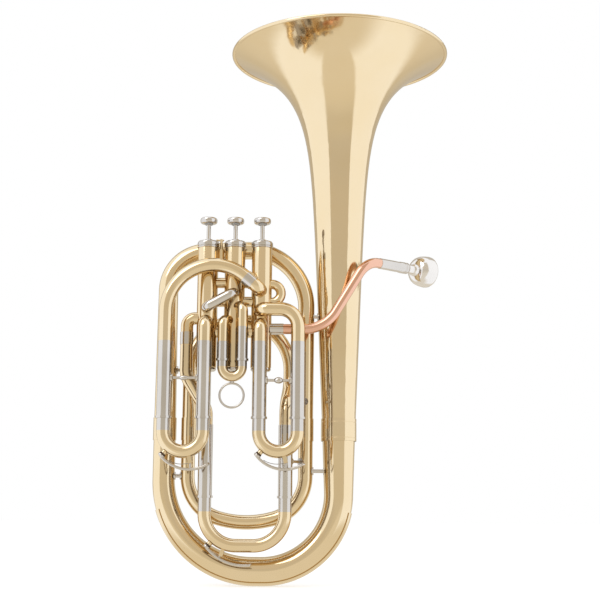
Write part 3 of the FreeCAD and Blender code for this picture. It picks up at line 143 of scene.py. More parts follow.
# The floor is plain to the eye. Mirrored in metal it carries the two boards' tones on towards its middle,
# as the sweep of a light tent does, and shows a painted shade in a disc under the horn.
floor_shader = bpy.data.materials.new("pale_floor")
tree = plain_tree(floor_shader)
matt = add_node(tree, "ShaderNodeBsdfDiffuse", (-320, 160))
matt.inputs["Color"].default_value = (0.78, 0.78, 0.78, 1.0)
lift = add_node(tree, "ShaderNodeMath", (-320, -40), operation="MULTIPLY")
lift.inputs[1].default_value = 0.52
glow = add_node(tree, "ShaderNodeEmission", (-120, -40))
total = add_node(tree, "ShaderNodeAddShader", (80, 60))
output = add_node(tree, "ShaderNodeOutputMaterial", (560, 60))
rays = add_node(tree, "ShaderNodeLightPath", (-520, -160))
wire(tree, rays, "Is Camera Ray", lift, 0)
wire(tree, lift, 0, glow, "Strength")
wire(tree, matt, 0, total, 0)
wire(tree, glow, 0, total, 1)
spot = add_node(tree, "ShaderNodeNewGeometry", (-1500, -400))
parts = add_node(tree, "ShaderNodeSeparateXYZ", (-1320, -400))
ahead = add_node(tree, "ShaderNodeMath", (-1140, -480), operation="MULTIPLY")
ahead.inputs[1].default_value = -1.0
turn = add_node(tree, "ShaderNodeMath", (-960, -400), operation="ARCTAN2")
aside = add_node(tree, "ShaderNodeMath", (-780, -400), operation="ABSOLUTE")
reach = add_node(tree, "ShaderNodeVectorMath", (-1140, -680), operation="LENGTH")
wire(tree, spot, "Position", parts, 0)
wire(tree, spot, "Position", reach, 0)
wire(tree, parts, "Y", ahead, 0)
wire(tree, parts, "X", turn, 0)
wire(tree, ahead, 0, turn, 1)
wire(tree, turn, 0, aside, 0)
front = between(tree, aside, 0, math.radians(36), math.radians(44), 1.0, 0.0, (-580, -340))
back = between(tree, aside, 0, math.radians(120), math.radians(134), 0.0, 1.0, (-580, -540))
# Painted shade: seen in reflections, the floor takes the darker board tone within a disc under the horn, in
# place of the horn's own shade on it.
shade_under_horn = between(tree, reach, "Value", 0.16, 0.34, 1.0, 0.0, (-580, -740))
shaded = add_node(tree, "ShaderNodeMath", (-380, -440), operation="MAXIMUM")
middle = add_node(tree, "ShaderNodeMath", (-200, -440), operation="MAXIMUM")
wire(tree, front, 0, shaded, 0)
wire(tree, back, 0, shaded, 1)
wire(tree, shaded, 0, middle, 0)
wire(tree, shade_under_horn, 0, middle, 1)
far = between(tree, reach, "Value", 0.5, 2.3, 0.0, 1.0, (-580, -940))
warm = add_node(tree, "ShaderNodeMix", (-200, -700), data_type="RGBA")
warm.inputs[6].default_value = (0.76, 0.70, 0.59, 1.0)
warm.inputs[7].default_value = (0.64, 0.58, 0.47, 1.0)
wire(tree, far, 0, warm, "Factor")
tone = add_node(tree, "ShaderNodeMix", (0, -300), data_type="RGBA")
tone.inputs[6].default_value = (1.0, 1.0, 1.0, 1.0)
tree.links.new(warm.outputs[2], tone.inputs[7])
wire(tree, middle, 0, tone, "Factor")
mirrored = add_node(tree, "ShaderNodeEmission", (180, -200))
tree.links.new(tone.outputs[2], mirrored.inputs["Color"])
choice = add_node(tree, "ShaderNodeMixShader", (360, 60))
wire(tree, rays, "Is Glossy Ray", choice, "Fac")
wire(tree, total, 0, choice, 1)
wire(tree, mirrored, 0, choice, 2)
wire(tree, choice, 0, output, "Surface")


def new_object(name, points, faces):
    mesh = bpy.data.meshes.new(name)
    mesh.from_pydata([tuple(p) for p in points], [], faces)
    mesh.update()
    made = bpy.data.objects.new(name, mesh)
    bpy.context.scene.collection.objects.link(made)
    return made


def board(name, radius, start, end, top, tones):
    """An upright curved board round the horn between two angles, toned by height for reflections."""
    points = []
    faces = []
    steps = 24
    for i in range(steps + 1):
        turn = math.radians(start + (end - start) * i / steps)
        for z in (0.0, top):
            points.append((radius * math.sin(turn), -radius * math.cos(turn), z))
    for i in range(steps):
        faces.append((2 * i, 2 * i + 1, 2 * i + 3, 2 * i + 2))
    made = new_object(name, points, faces)
    shader = bpy.data.materials.new(name)
    tree = plain_tree(shader)
    spot = add_node(tree, "ShaderNodeNewGeometry", (-900, 0))
    parts = add_node(tree, "ShaderNodeSeparateXYZ", (-720, 0))
    wire(tree, spot, "Position", parts, 0)
    ramp = add_node(tree, "ShaderNodeValToRGB", (-540, 0))
    ramp.color_ramp.interpolation = "EASE"
    marks = ramp.color_ramp.elements
    marks[0].position, marks[0].color = tones[0][0], (*tones[0][1], 1.0)
    marks[1].position, marks[1].color = tones[-1][0], (*tones[-1][1], 1.0)
    for height, tone in tones[1:-1]:
        marks.new(height).color = (*tone, 1.0)
    wire(tree, parts, "Z", ramp, "Fac")
    glow = add_node(tree, "ShaderNodeEmission", (-140, 0))
    wire(tree, ramp, "Color", glow, "Color")
    output = add_node(tree, "ShaderNodeOutputMaterial", (60, 0))
    wire(tree, glow, 0, output, "Surface")
    made.data.materials.append(shader)
    made.visible_camera = False
    made.visible_shadow = False
    made.visible_diffuse = False
    return made


floor = new_object("floor", [(-30, -30, 0), (30, -30, 0), (30, 30, 0), (-30, 30, 0)], [(0, 1, 2, 3)])
floor.data.materials.append(floor_shader)
board(
    "front_board",
    2.6,
    -40,
    40,
    4.5,
    [
        (0.15, (0.64, 0.58, 0.47)),
        (0.45, (0.60, 0.545, 0.455)),
        (0.62, (0.585, 0.53, 0.44)),
        (0.9, (0.63, 0.555, 0.445)),
    ],
)
board("back_board", 3.0, 128, 232, 5.0, [(0.1, (0.62, 0.57, 0.48)), (0.8, (0.55, 0.50, 0.42))])

lamp_data = bpy.data.lights.new("soft_lamp", "AREA")
lamp_data.energy = 14.0
lamp_data.shape = "RECTANGLE"
lamp_data.size = 1.6
lamp_data.size_y = 1.6
lamp = bpy.data.objects.new("soft_lamp", lamp_data)
bpy.context.scene.collection.objects.link(lamp)
lamp.location = (-1.4, -1.7, 2.1)
lamp.rotation_mode = "QUATERNION"
lamp.rotation_quaternion = (looked_at - lamp.location).to_track_quat("-Z", "Y")


# Metals. Buffed brass under a thin clear lacquer, brushed nickel silver, rose
# brass, worn and fresh silver plate, and steel share one effect: faint buffing
# lines, soft smudges in the gloss and a slight unevenness of the drawn tube.
def effect_group(name, inputs, outputs):
    group = bpy.data.node_groups.new(name, "ShaderNodeTree")
    for label, kind, value in inputs:
        socket = group.interface.new_socket(name=label, in_out="INPUT", socket_type=kind)
        socket.default_value = value
    for label, kind in outputs:
        group.interface.new_socket(name=label, in_out="OUTPUT", socket_type=kind)
    start = add_node(group, "NodeGroupInput", (-1100, 0))
    end = add_node(group, "NodeGroupOutput", (700, 0))
    return group, start, end


polish, start, end = effect_group(
    "polish_marks",
    [
        ("Light tone", "NodeSocketColor", (1.0, 1.0, 1.0, 1.0)),
        ("Dark tone", "NodeSocketColor", (1.0, 1.0, 1.0, 1.0)),
        ("Least rough", "NodeSocketFloat", 0.1),
        ("Most rough", "NodeSocketFloat", 0.2),
        ("Line size", "NodeSocketFloat", 900.0),
    ],
    [("Colour", "NodeSocketColor"), ("Roughness", "NodeSocketFloat"), ("Height", "NodeSocketFloat")],
)
place = add_node(polish, "ShaderNodeTexCoord", (-1100, -300))
cloud = add_node(polish, "ShaderNodeTexNoise", (-820, 240))
cloud.inputs["Scale"].default_value = 22.0
cloud.inputs["Detail"].default_value = 3.0
smudge = add_node(polish, "ShaderNodeTexNoise", (-820, 0))
smudge.inputs["Scale"].default_value = 75.0
smudge.inputs["Detail"].default_value = 5.0
smudge.inputs["Distortion"].default_value = 0.6
stretch = add_node(polish, "ShaderNodeMapping", (-900, -300))
stretch.inputs["Scale"].default_value = (1.0, 1.0, 0.06)
lines = add_node(polish, "ShaderNodeTexNoise", (-640, -300))
lines.inputs["Detail"].default_value = 2.0
wire(polish, place, "Object", cloud, "Vector")
wire(polish, place, "Object", smudge, "Vector")
wire(polish, place, "Object", stretch, "Vector")
wire(polish, stretch, 0, lines, "Vector")
wire(polish, start, "Line size", lines, "Scale")
shade = add_node(polish, "ShaderNodeMix", (-300, 260), data_type="RGBA")
spread = add_node(polish, "ShaderNodeMapRange", (-560, 240))
spread.inputs["From Min"].default_value = 0.35
spread.inputs["From Max"].default_value = 0.68
wire(polish, cloud, "Fac", spread, "Value")
wire(polish, spread, 0, shade, "Factor")
polish.links.new(start.outputs["Light tone"], shade.inputs[6])
polish.links.new(start.outputs["Dark tone"], shade.inputs[7])
polish.links.new(shade.outputs[2], end.inputs["Colour"])
worn = add_node(polish, "ShaderNodeMapRange", (-300, 0))
worn.inputs["From Min"].default_value = 0.42
worn.inputs["From Max"].default_value = 0.72
wire(polish, smudge, "Fac", worn, "Value")
wire(polish, start, "Least rough", worn, "To Min")
wire(polish, start, "Most rough", worn, "To Max")
wire(polish, worn, 0, end, "Roughness")
wire(polish, lines, "Fac", end, "Height")


def metal(name, light, dark, least, most, lacquer=0.0, bump=0.02, line_size=900.0, reflection_shade=(0.72, 0.64, 0.5)):
    """A metal with the shared polish marks. Seen in another piece its colour is darkened by a painted shade
    tone, in place of the shade between neighbouring tubes.
    """
    made = bpy.data.materials.new(name)
    tree = plain_tree(made)
    marks = add_node(tree, "ShaderNodeGroup", (-500, 0), node_tree=polish)
    marks.inputs["Light tone"].default_value = (*light, 1.0)
    marks.inputs["Dark tone"].default_value = (*dark, 1.0)
    marks.inputs["Least rough"].default_value = least
    marks.inputs["Most rough"].default_value = most
    marks.inputs["Line size"].default_value = line_size
    relief = add_node(tree, "ShaderNodeBump", (-260, -260))
    relief.inputs["Strength"].default_value = bump
    relief.inputs["Distance"].default_value = 0.02 * mm
    shader = add_node(tree, "ShaderNodeBsdfPrincipled", (0, 0))
    shader.inputs["Metallic"].default_value = 1.0
    shader.inputs["Coat Weight"].default_value = lacquer
    shader.inputs["Coat Roughness"].default_value = 0.04
    output = add_node(tree, "ShaderNodeOutputMaterial", (300, 0))
    # Painted shade: when a piece is seen in a reflection, its base colour is multiplied by a fixed tone in
    # place of the shade between neighbouring tubes.
    rays = add_node(tree, "ShaderNodeLightPath", (-500, 420))
    reflection_darkening = add_node(tree, "ShaderNodeMix", (-240, 200), data_type="RGBA", blend_type="MULTIPLY")
    reflection_darkening.inputs[7].default_value = (*reflection_shade, 1.0)
    wire(tree, rays, "Is Glossy Ray", reflection_darkening, "Factor")
    tree.links.new(marks.outputs["Colour"], reflection_darkening.inputs[6])
    tree.links.new(reflection_darkening.outputs[2], shader.inputs["Base Color"])
    wire(tree, marks, "Roughness", shader, "Roughness")
    wire(tree, marks, "Height", relief, "Height")
    wire(tree, relief, 0, shader, "Normal")
    wire(tree, shader, 0, output, "Surface")
    return made


# The last tone given to a metal is the painted shade its colour takes when it is seen in another piece.
brass = metal("lacquered_brass", (0.93, 0.775, 0.53), (0.92, 0.755, 0.495), 0.07, 0.12, lacquer=0.3)
nickel = metal("nickel_silver", (0.76, 0.735, 0.71), (0.70, 0.675, 0.65), 0.1, 0.16, reflection_shade=(0.6, 0.56, 0.5))
rose = metal("rose_brass", (0.92, 0.56, 0.42), (0.90, 0.53, 0.39), 0.08, 0.13, lacquer=0.35)
silver = metal("silver_plate", (0.78, 0.76, 0.75), (0.70, 0.68, 0.67), 0.06, 0.1, reflection_shade=(0.5, 0.47, 0.44))
fresh_tones = (0.93, 0.91, 0.895), (0.88, 0.86, 0.845)
fresh_silver = metal("fresh_silver_plate", *fresh_tones, 0.12, 0.17, reflection_shade=(0.82, 0.78, 0.73))
piston_metal = metal("piston_nickel", (0.72, 0.71, 0.69), (0.68, 0.67, 0.65), 0.2, 0.28)
steel = metal("spring_steel", (0.55, 0.55, 0.56), (0.48, 0.48, 0.50), 0.2, 0.35)


def fabric(name, light, dark, scale):
    """Pressed wool felt or natural cork: grainy, matt and a little uneven."""
    made = bpy.data.materials.new(name)
    tree = plain_tree(made)
    place = add_node(tree, "ShaderNodeTexCoord", (-900, 0))
    grain = add_node(tree, "ShaderNodeTexNoise", (-700, 0))
    grain.inputs["Scale"].default_value = scale
    grain.inputs["Detail"].default_value = 6.0
    tone = add_node(tree, "ShaderNodeValToRGB", (-460, 120))
    tone.color_ramp.elements[0].position = 0.35
    tone.color_ramp.elements[0].color = (*dark, 1.0)
    tone.color_ramp.elements[1].position = 0.65
    tone.color_ramp.elements[1].color = (*light, 1.0)
    relief = add_node(tree, "ShaderNodeBump", (-260, -200))
    relief.inputs["Strength"].default_value = 0.6
    relief.inputs["Distance"].default_value = 0.15 * mm
    shader = add_node(tree, "ShaderNodeBsdfPrincipled", (0, 0))
    shader.inputs["Roughness"].default_value = 0.9
    output = add_node(tree, "ShaderNodeOutputMaterial", (300, 0))
    wire(tree, place, "Object", grain, "Vector")
    wire(tree, grain, "Fac", tone, "Fac")
    wire(tree, grain, "Fac", relief, "Height")
    wire(tree, tone, "Color", shader, "Base Color")
    wire(tree, relief, 0, shader, "Normal")
    wire(tree, shader, 0, output, "Surface")
    return made


felt = fabric("wool_felt", (0.72, 0.70, 0.66), (0.55, 0.53, 0.49), 2200.0)
cork = fabric("natural_cork", (0.16, 0.10, 0.055), (0.06, 0.035, 0.02), 1400.0)


def finish(node, material):
    """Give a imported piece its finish; every slot of the piece takes it."""
    piece = nodes[node]
    if not piece.material_slots:
        piece.data.materials.append(material)
    for slot in piece.material_slots:
        slot.material = material


for name in (
    "bell",
    "bell_ferrule",
    "bottom_bow",
    "top_bow",
    "inner_bow",
    "back_loop",
    "branch_ferrules",
    "bow_guard",
    "valve_knuckles",
    "slide_elbows",
    "third_return_tube",
    "first_return_tube",
    "exit_tube",
    "main_slide_bow",
    "first_slide_bow",
    "third_slide_bow",
    "second_slide_bow",
):
    finish(name, brass)
for name in (
    "third_slide_sleeves",
    "first_slide_sleeves",
    "second_slide_sleeves",
    "main_slide_sleeves",
    "main_slide_legs",
    "first_slide_legs",
    "third_slide_legs",
    "second_slide_legs",
    "mouthpiece_receiver",
    "small_ferrules",
    "braces",
    "main_water_key",
    "first_water_key",
    "third_water_key",
    "pull_ring",
    "compensating_tubes",
):
    finish(name, nickel)
finish("leadpipe", rose)
finish("mouthpiece", fresh_silver)
for number in (1, 2, 3):
    finish(f"valve_casing_{number}", brass)
    finish(f"top_cap_{number}", nickel)
    finish(f"bottom_cap_{number}", nickel)
    finish(f"valve_stem_{number}", nickel)
    finish(f"finger_button_{number}", silver)
    finish(f"piston_{number}", piston_metal)
    finish(f"valve_spring_{number}", steel)
    finish(f"button_felt_{number}", felt)


# Large bows. The top bow, the bottom bow and the inner bow are drawn brass tube,
# widening on its way to the bell, bent round a filling and soldered into ferrules.
def bent(corners, bends):
    """The centre line of a tube that runs straight between corners and is bent round them."""
    points = [corners[0].copy()]
    for before, corner, after, bend in zip(corners, corners[1:], corners[2:], bends):
        into = (corner - before).normalized()
        out = (after - corner).normalized()
        turn = into.angle(out)
        start = corner - into * bend * math.tan(turn / 2)
        side = (out - into * into.dot(out)).normalized()
        steps = max(3, round(math.degrees(turn) / 3))
        for i in range(steps + 1):
            angle = turn * i / steps
            points.append(start + into * bend * math.sin(angle) + side * bend * (1 - math.cos(angle)))
    points.append(corners[-1].copy())
    return points


def skin(name, rings, material, looped=False, sharp=32):
    """A smooth skin over rings of points; the ends are closed unless the rings run round in a loop."""
    count = len(rings[0])
    points = [point for ring in rings for point in ring]
    faces = []
    for i in range(len(rings) if looped else len(rings) - 1):
        here = i * count
        there = (i + 1) % len(rings) * count
        for j in range(count):
            k = (j + 1) % count
            faces.append((here + j, here + k, there + k, there + j))
    if not looped:
        faces.append(tuple(reversed(range(count))))
        faces.append(tuple(range((len(rings) - 1) * count, len(rings) * count)))
    made = new_object(name, points, faces)
    work = bmesh.new()
    work.from_mesh(made.data)
    bmesh.ops.recalc_face_normals(work, faces=work.faces)
    work.to_mesh(made.data)
    work.free()
    for face in made.data.polygons:
        face.use_smooth = True
    made.data.set_sharp_from_angle(angle=math.radians(sharp))
    made.data.materials.append(material)
    return made


def tangents(points):
    ways = []
    for i in range(len(points)):
        before = points[max(i - 1, 0)]
        after = points[min(i + 1, len(points) - 1)]
        ways.append((after - before).normalized())
    return ways


def tube(name, points, first, last, wall, material, steps=56):
    """A bent tube with a wall, its radius going evenly from the first to the last."""
    gone = [0.0]
    for before, after in zip(points, points[1:]):
        gone.append(gone[-1] + (after - before).length)
    side = tangents(points)[0].orthogonal()
    outside = []
    inside = []
    for point, way, part in zip(points, tangents(points), gone):
        side = (side - way * side.dot(way)).normalized()
        other = way.cross(side)
        radius = first + (last - first) * part / gone[-1]
        for rings, reach in ((outside, radius), (inside, radius - wall)):
            ring = []
            for k in range(steps):
                turn = math.tau * k / steps
                ring.append(point + side * reach * math.cos(turn) + other * reach * math.sin(turn))
            rings.append(ring)
    return skin(name, outside + inside[::-1], material, looped=True)


left_radius = 11.8 * mm
right_radius = 7.9 * mm
inner_radius = 7.4 * mm
bow_wall = 0.6 * mm
bell_low, bell_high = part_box("bell_ferrule")
bell_axis = (bell_low.x + bell_high.x) / 2
left_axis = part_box("top_bow")[0].x + left_radius
seam_z = bell_low.z + 12 * mm
inner_low, inner_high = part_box("inner_bow")
inner_left = inner_low.x + inner_radius
right_axis = inner_high.x - right_radius
top_points = bent(
    [
        Vector((left_axis, 0, seam_z)),
        Vector((left_axis, 0, 357.7 * mm)),
        Vector((right_axis, 0, 366.4 * mm)),
        Vector((right_axis, 0, seam_z)),
    ],
    [42.4 * mm, 64.0 * mm],
)
top_bow = tube("top_bow_tube", top_points, left_radius, right_radius, bow_wall, brass)
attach(top_bow, "horn")
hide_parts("top_bow")

middle_x = (inner_left + right_axis) / 2
fall = math.radians(16)
belly_bend = 107 * mm
side_bend = 46 * mm
low_corner = 66.3 * mm - belly_bend * (1 / math.cos(fall) - 1)
shoulder = low_corner + (right_axis - middle_x) * math.tan(fall)
inner_points = bent(
    [
        Vector((right_axis, 0, seam_z)),
        Vector((right_axis, 0, shoulder)),
        Vector((middle_x, 0, low_corner)),
        Vector((inner_left, 0, shoulder)),
        Vector((inner_left, 0, seam_z)),
    ],
    [side_bend, belly_bend, side_bend],
)
inner_bow = tube("inner_bow_tube", inner_points, right_radius, inner_radius, bow_wall, brass)
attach(inner_bow, "horn")
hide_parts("inner_bow")

bell_leg_radius = 15.6 * mm
base_radius = 14.8 * mm
bell_bend = 81.0 * mm
left_bend = 96.5 * mm
plain_rise = 81.0 * mm
bow_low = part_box("bottom_bow")[0]
bow_z = bow_low.z + base_radius
bottom_points = bent(
    [
        Vector((bell_axis, 0, seam_z)),
        Vector((bell_axis, 0, bow_z)),
        Vector((left_axis, 0, bow_z)),
        Vector((left_axis, 0, seam_z)),
    ],
    [bell_bend, left_bend],
)
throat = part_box("bottom_bow")[1].y


def bow_radius(point):
    """The bottom bow's outside radius: it narrows from the bell's leg to the left leg."""
    run = max(0.0, point.z - bow_z)
    if point.x > bell_axis - 0.1 * mm:
        share = min(1.0, max(0.0, run - plain_rise) / (seam_z - bow_z - plain_rise))
        return bell_leg_radius + (throat - bell_leg_radius) * share
    if point.x < left_axis + 0.1 * mm:
        return left_radius
    if point.x > bell_axis - bell_bend:
        return bell_leg_radius - 0.8 * mm * (bell_axis - point.x) / bell_bend
    if point.x > left_axis + left_bend:
        return base_radius
    turn = math.acos(min(1.0, (left_axis + left_bend - point.x) / left_bend))
    return left_radius + 3.0 * mm * turn / (math.pi / 2)


outside = []
inside = []
for point, way in zip(bottom_points, tangents(bottom_points)):
    side = way.cross(Vector((0, 1, 0)))
    for rings, reach in ((outside, bow_radius(point)), (inside, bow_radius(point) - bow_wall)):
        ring = []
        for k in range(72):
            turn = math.tau * k / 72
            ring.append(point + side * reach * math.cos(turn) + Vector((0, reach * math.sin(turn), 0)))
        rings.append(ring)
bottom_bow = skin("bottom_bow_tube", outside + inside[::-1], brass, looped=True)
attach(bottom_bow, "horn")
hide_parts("bottom_bow")


# Bow guard. A strip of brass hugs the outside of the bottom bow, where the horn
# stands on the floor. It is pressed to the tube's round and soldered on.
guard_top = 84 * mm
guard_half_width = 10 * mm
guard_rings = []
for point, way in zip(bottom_points, tangents(bottom_points)):
    if point.z > guard_top:
        continue
    side = way.cross(Vector((0, 1, 0)))
    if side.z > 0 or (abs(side.z) < 0.02 and side.x * (point.x - middle_x) < 0):
        side = -side
    low_skin = bow_radius(point) + 0.02 * mm
    top_skin = bow_radius(point) + 0.9 * mm
    half = math.asin(guard_half_width / top_skin)
    ring = []
    for k in range(17):
        turn = -half + 2 * half * k / 16
        ring.append(point + side * top_skin * math.cos(turn) + Vector((0, top_skin * math.sin(turn), 0)))
    for k in range(16, -1, -1):
        turn = -half + 2 * half * k / 16
        ring.append(point + side * low_skin * math.cos(turn) + Vector((0, low_skin * math.sin(turn), 0)))
    guard_rings.append(ring)
guard = skin("bow_guard_strip", guard_rings, brass)
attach(guard, "horn")
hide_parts("bow_guard")


# Valves. Each casing has a plain brass outer wall and a knurled nickel cap with a
# foot ring and a groove. The stem comes up through the cap to a felt and a thick
# round silver button.
def turned(name, profile, base, way, material, looped=False, steps=72, ribs=()):
    """A lathe-turned body of radii and heights along its way, with fine ribs on chosen rings."""
    first = way.orthogonal().normalized()
    second = way.cross(first)
    rings = []
    for index, (radius, height) in enumerate(profile):
        ring = []
        for k in range(steps):
            turn = math.tau * k / steps
            reach = (radius - (0.16 if index in ribs and k % 2 else 0.0)) * mm
            arm = first * math.cos(turn) + second * math.sin(turn)
            ring.append(base + way * height * mm + arm * reach)
        rings.append(ring)
    return skin(name, rings, material, looped)


up = Vector((0, 0, 1))
wall_profile = [(9.82, 0.0), (10.6, 0.0), (11.0, 0.4), (11.0, 130.0), (10.9, 130.5), (9.82, 130.5)]
button_z = 385.2 * mm
for number in (1, 2, 3):
    low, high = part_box(f"valve_casing_{number}")
    centre = Vector(((low.x + high.x) / 2, (low.y + high.y) / 2, 0))
    wall = turned(
        f"casing_{number}_wall",
        wall_profile,
        centre + up * 228.0 * mm,
        up,
        brass,
        looped=True,
        steps=96,
    )
    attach(wall, "horn")

    foot = centre + up * 358.0 * mm
    cap_profile = [
        (9.84, 0.0),
        (11.5, 0.0),
        (11.8, 0.3),
        (11.8, 1.3),
        (11.55, 1.6),
        (11.1, 1.8),
        (11.1, 2.3),
        (11.5, 2.6),
        (11.7, 2.8),
        (11.7, 5.6),
        (11.5, 6.0),
        (11.1, 6.3),
        (10.9, 7.0),
        (10.4, 7.5),
        (9.6, 7.7),
        (4.9, 7.9),
        (4.6, 8.3),
        (4.4, 9.4),
        (4.1, 9.8),
        (2.75, 9.8),
        (2.75, 6.0),
        (9.0, 6.0),
        (9.84, 5.0),
    ]
    cap = turned(f"cap_{number}", cap_profile, foot, up, nickel, looped=True, steps=144, ribs=(8, 9))
    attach(cap, "horn")
    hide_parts(f"top_cap_{number}")

    stem_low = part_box(f"valve_stem_{number}")[0]
    body = f"piston_{number}_assembly"
    stem_base = centre + up * stem_low.z
    stem_length = (button_z - stem_low.z) / mm + 0.5
    stem = turned(f"stem_{number}", [(2.3, 0.0), (2.3, stem_length)], stem_base, up, nickel, steps=40)
    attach(stem, body)
    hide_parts(f"valve_stem_{number}")

    felt_profile = [(2.32, 0.1), (2.6, 0.0), (4.2, 0.0), (4.5, 0.2), (4.5, 1.9), (4.3, 2.1), (2.32, 2.1)]
    pad = turned(f"felt_{number}", felt_profile, centre + up * 384.0 * mm, up, felt, looped=True, steps=56)
    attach(pad, body)
    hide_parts(f"button_felt_{number}")

    button_profile = [
        (0.05, 0.9),
        (4.7, 0.9),
        (4.9, 0.2),
        (5.4, 0.0),
        (6.9, 0.05),
        (8.1, 0.4),
        (8.85, 1.15),
        (9.2, 2.3),
        (9.2, 4.2),
        (8.85, 5.35),
        (8.1, 6.1),
        (7.2, 6.45),
        (6.6, 6.5),
        (6.35, 6.4),
        (6.2, 6.15),
        (5.9, 6.05),
        (4.0, 6.15),
        (2.0, 6.22),
        (0.05, 6.24),
    ]
    button = turned(f"button_{number}", button_profile, centre + up * button_z, up, silver, steps=96)
    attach(button, body)
    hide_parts(f"finger_button_{number}")


# Clip holder. A small brass socket between the third and second casings takes
# the stem of a music clip; a screw with a flat wing above holds it.
low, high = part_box("valve_casing_3")
holder = Vector((high.x + 3.9 * mm, (low.y + high.y) / 2 + 3 * mm, 0))
socket = turned(
    "clip_socket",
    [(2.2, 0.0), (3.5, 0.0), (3.8, 0.3), (3.8, 11.2), (3.5, 11.5), (2.2, 11.5)],
    holder + up * 345.5 * mm,
    up,
    brass,
    looped=True,
    steps=56,
)
screw = turned(
    "clip_screw",
    [(1.6, 0.0), (1.6, 9.4), (2.3, 9.7), (2.5, 10.4), (2.5, 11.2), (1.6, 11.6), (1.6, 21.4), (1.3, 21.8)],
    holder + up * 347.0 * mm,
    up,
    brass,
    steps=40,
)
wing_rings = []
for part in range(13):
    along = -1 + part / 6
    thick = (0.9 + 0.5 * abs(along)) * math.sqrt(max(0.04, 1 - abs(along) ** 6))
    spot = holder + Vector(((along * 4.6 - 1.6) * mm, 0, 367.6 * mm))
    ring = []
    for k in range(20):
        turn = math.tau * k / 20
        ring.append(spot + Vector((0, thick * math.cos(turn) * mm, thick * math.sin(turn) * mm)))
    wing_rings.append(ring)
wing = skin("clip_wing", wing_rings, brass)
stay_edge = [(-1.5, -2), (-1.8, -1.7), (-1.8, 1.7), (-1.5, 2), (1.5, 2), (1.8, 1.7), (1.8, -1.7), (1.5, -2)]
stay_points = [holder + Vector((x * mm, 0, 351.5 * mm)) for x in (-4.0, 0.0, 5.9)]
stay_rings = [
    [spot + Vector((0, across * mm, tall * mm)) for across, tall in stay_edge] for spot in stay_points
]
stay = skin("clip_stay", stay_rings, brass)
for piece in (socket, screw, wing, stay):
    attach(piece, "horn")


# Leadpipe and receiver. Rose brass tube runs from the first casing up to the
# player, with a slim nickel receiver whose end is thickened round the shank.
pipe_radius = 5.4 * mm
pipe_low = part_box("leadpipe")[0]
lead_z = pipe_low.z + pipe_radius
blow = Vector((math.cos(math.radians(40)), math.sin(math.radians(40)), 0))
second_turn = Vector((68.1 * mm, -33.0 * mm, 345.0 * mm))
receiver_base = second_turn + blow * 18.5 * mm
lead_points = bent(
    [
        Vector((pipe_low.x + 1.5 * mm, -31.2 * mm, lead_z)),
        Vector((23.0 * mm, -33.0 * mm, lead_z)),
        second_turn,
        receiver_base,
    ],
    [40 * mm, 25 * mm],
)
leadpipe = tube("leadpipe_tube", lead_points, pipe_radius, pipe_radius, 0.5 * mm, rose)
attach(leadpipe, "horn")
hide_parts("leadpipe")
receiver = turned(
    "receiver_sleeve",
    [
        (4.9, 0.0),
        (5.5, 0.0),
        (5.75, 0.3),
        (5.9, 23.0),
        (5.75, 28.0),
        (5.9, 30.0),
        (6.2, 31.0),
        (6.3, 35.8),
        (6.0, 36.4),
        (6.0, 36.9),
        (6.3, 37.4),
        (6.2, 41.2),
        (5.8, 42.0),
        (4.96, 42.0),
        (4.6, 17.5),
        (4.9, 17.5),
    ],
    receiver_base,
    blow,
    nickel,
    looped=True,
    steps=72,
)
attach(receiver, "horn")
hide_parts("mouthpiece_receiver")


# Mouthpiece. Turned brass with fresh silver plate: a tapered shank and a heavy
# round cup that runs into a rounded rim. It is only pushed into the receiver and
# pulls straight out.
mouthpiece = turned(
    "mouthpiece_body",
    [
        (3.9, 0.0),
        (4.5, 0.0),
        (4.86, 24.0),
        (5.1, 31.7),
        (5.9, 32.7),
        (6.6, 34.2),
        (7.1, 36.7),
        (10.2, 37.3),
        (12.9, 38.8),
        (14.9, 41.2),
        (16.2, 44.3),
        (16.9, 47.6),
        (17.3, 51.0),
        (17.5, 54.0),
        (17.3, 55.8),
        (16.6, 57.0),
        (15.6, 57.6),
        (14.6, 57.7),
        (13.6, 57.3),
        (12.9, 56.4),
        (12.6, 54.0),
        (12.0, 50.0),
        (11.2, 46.0),
        (9.2, 42.0),
        (6.2, 38.6),
        (4.2, 36.6),
        (3.2, 34.8),
        (3.2, 28.0),
        (3.4, 12.0),
    ],
    receiver_base + blow * 18.0 * mm,
    blow,
    fresh_silver,
    looped=True,
    steps=96,
)
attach(mouthpiece, "mouthpiece")
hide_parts("mouthpiece")


# Pull ring. A ring of round nickel wire hangs under the second slide's bow from
# a small soldered stub, for one finger.
ring_low, ring_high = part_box("pull_ring")
ring_reach = 13.8 * mm
ring_z = ring_low.z + 24.6 * mm - ring_reach
ring_centre = Vector(((ring_low.x + ring_high.x) / 2, (ring_low.y + ring_high.y) / 2, ring_z))
ring_radius = 12.65
wire_radius = 1.15
loop_rings = []
for part in range(72):
    turn = math.tau * part / 72
    arm = Vector((math.cos(turn), 0, math.sin(turn)))
    ring = []
    for k in range(20):
        bend = math.tau * k / 20
        reach = (ring_radius + wire_radius * math.cos(bend)) * mm
        ring.append(ring_centre + arm * reach + Vector((0, wire_radius * math.sin(bend) * mm, 0)))
    loop_rings.append(ring)
pull_ring = skin("pull_ring_wire", loop_rings, nickel, looped=True)
stub = turned(
    "pull_ring_stub",
    [(1.3, 0.0), (1.9, 0.5), (2.1, 1.2), (1.9, 2.0), (1.9, 3.1)],
    ring_centre + up * 12.6 * mm,
    up,
    nickel,
    steps=32,
)
for piece in (pull_ring, stub):
    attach(piece, "second_slide")
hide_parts("pull_ring")


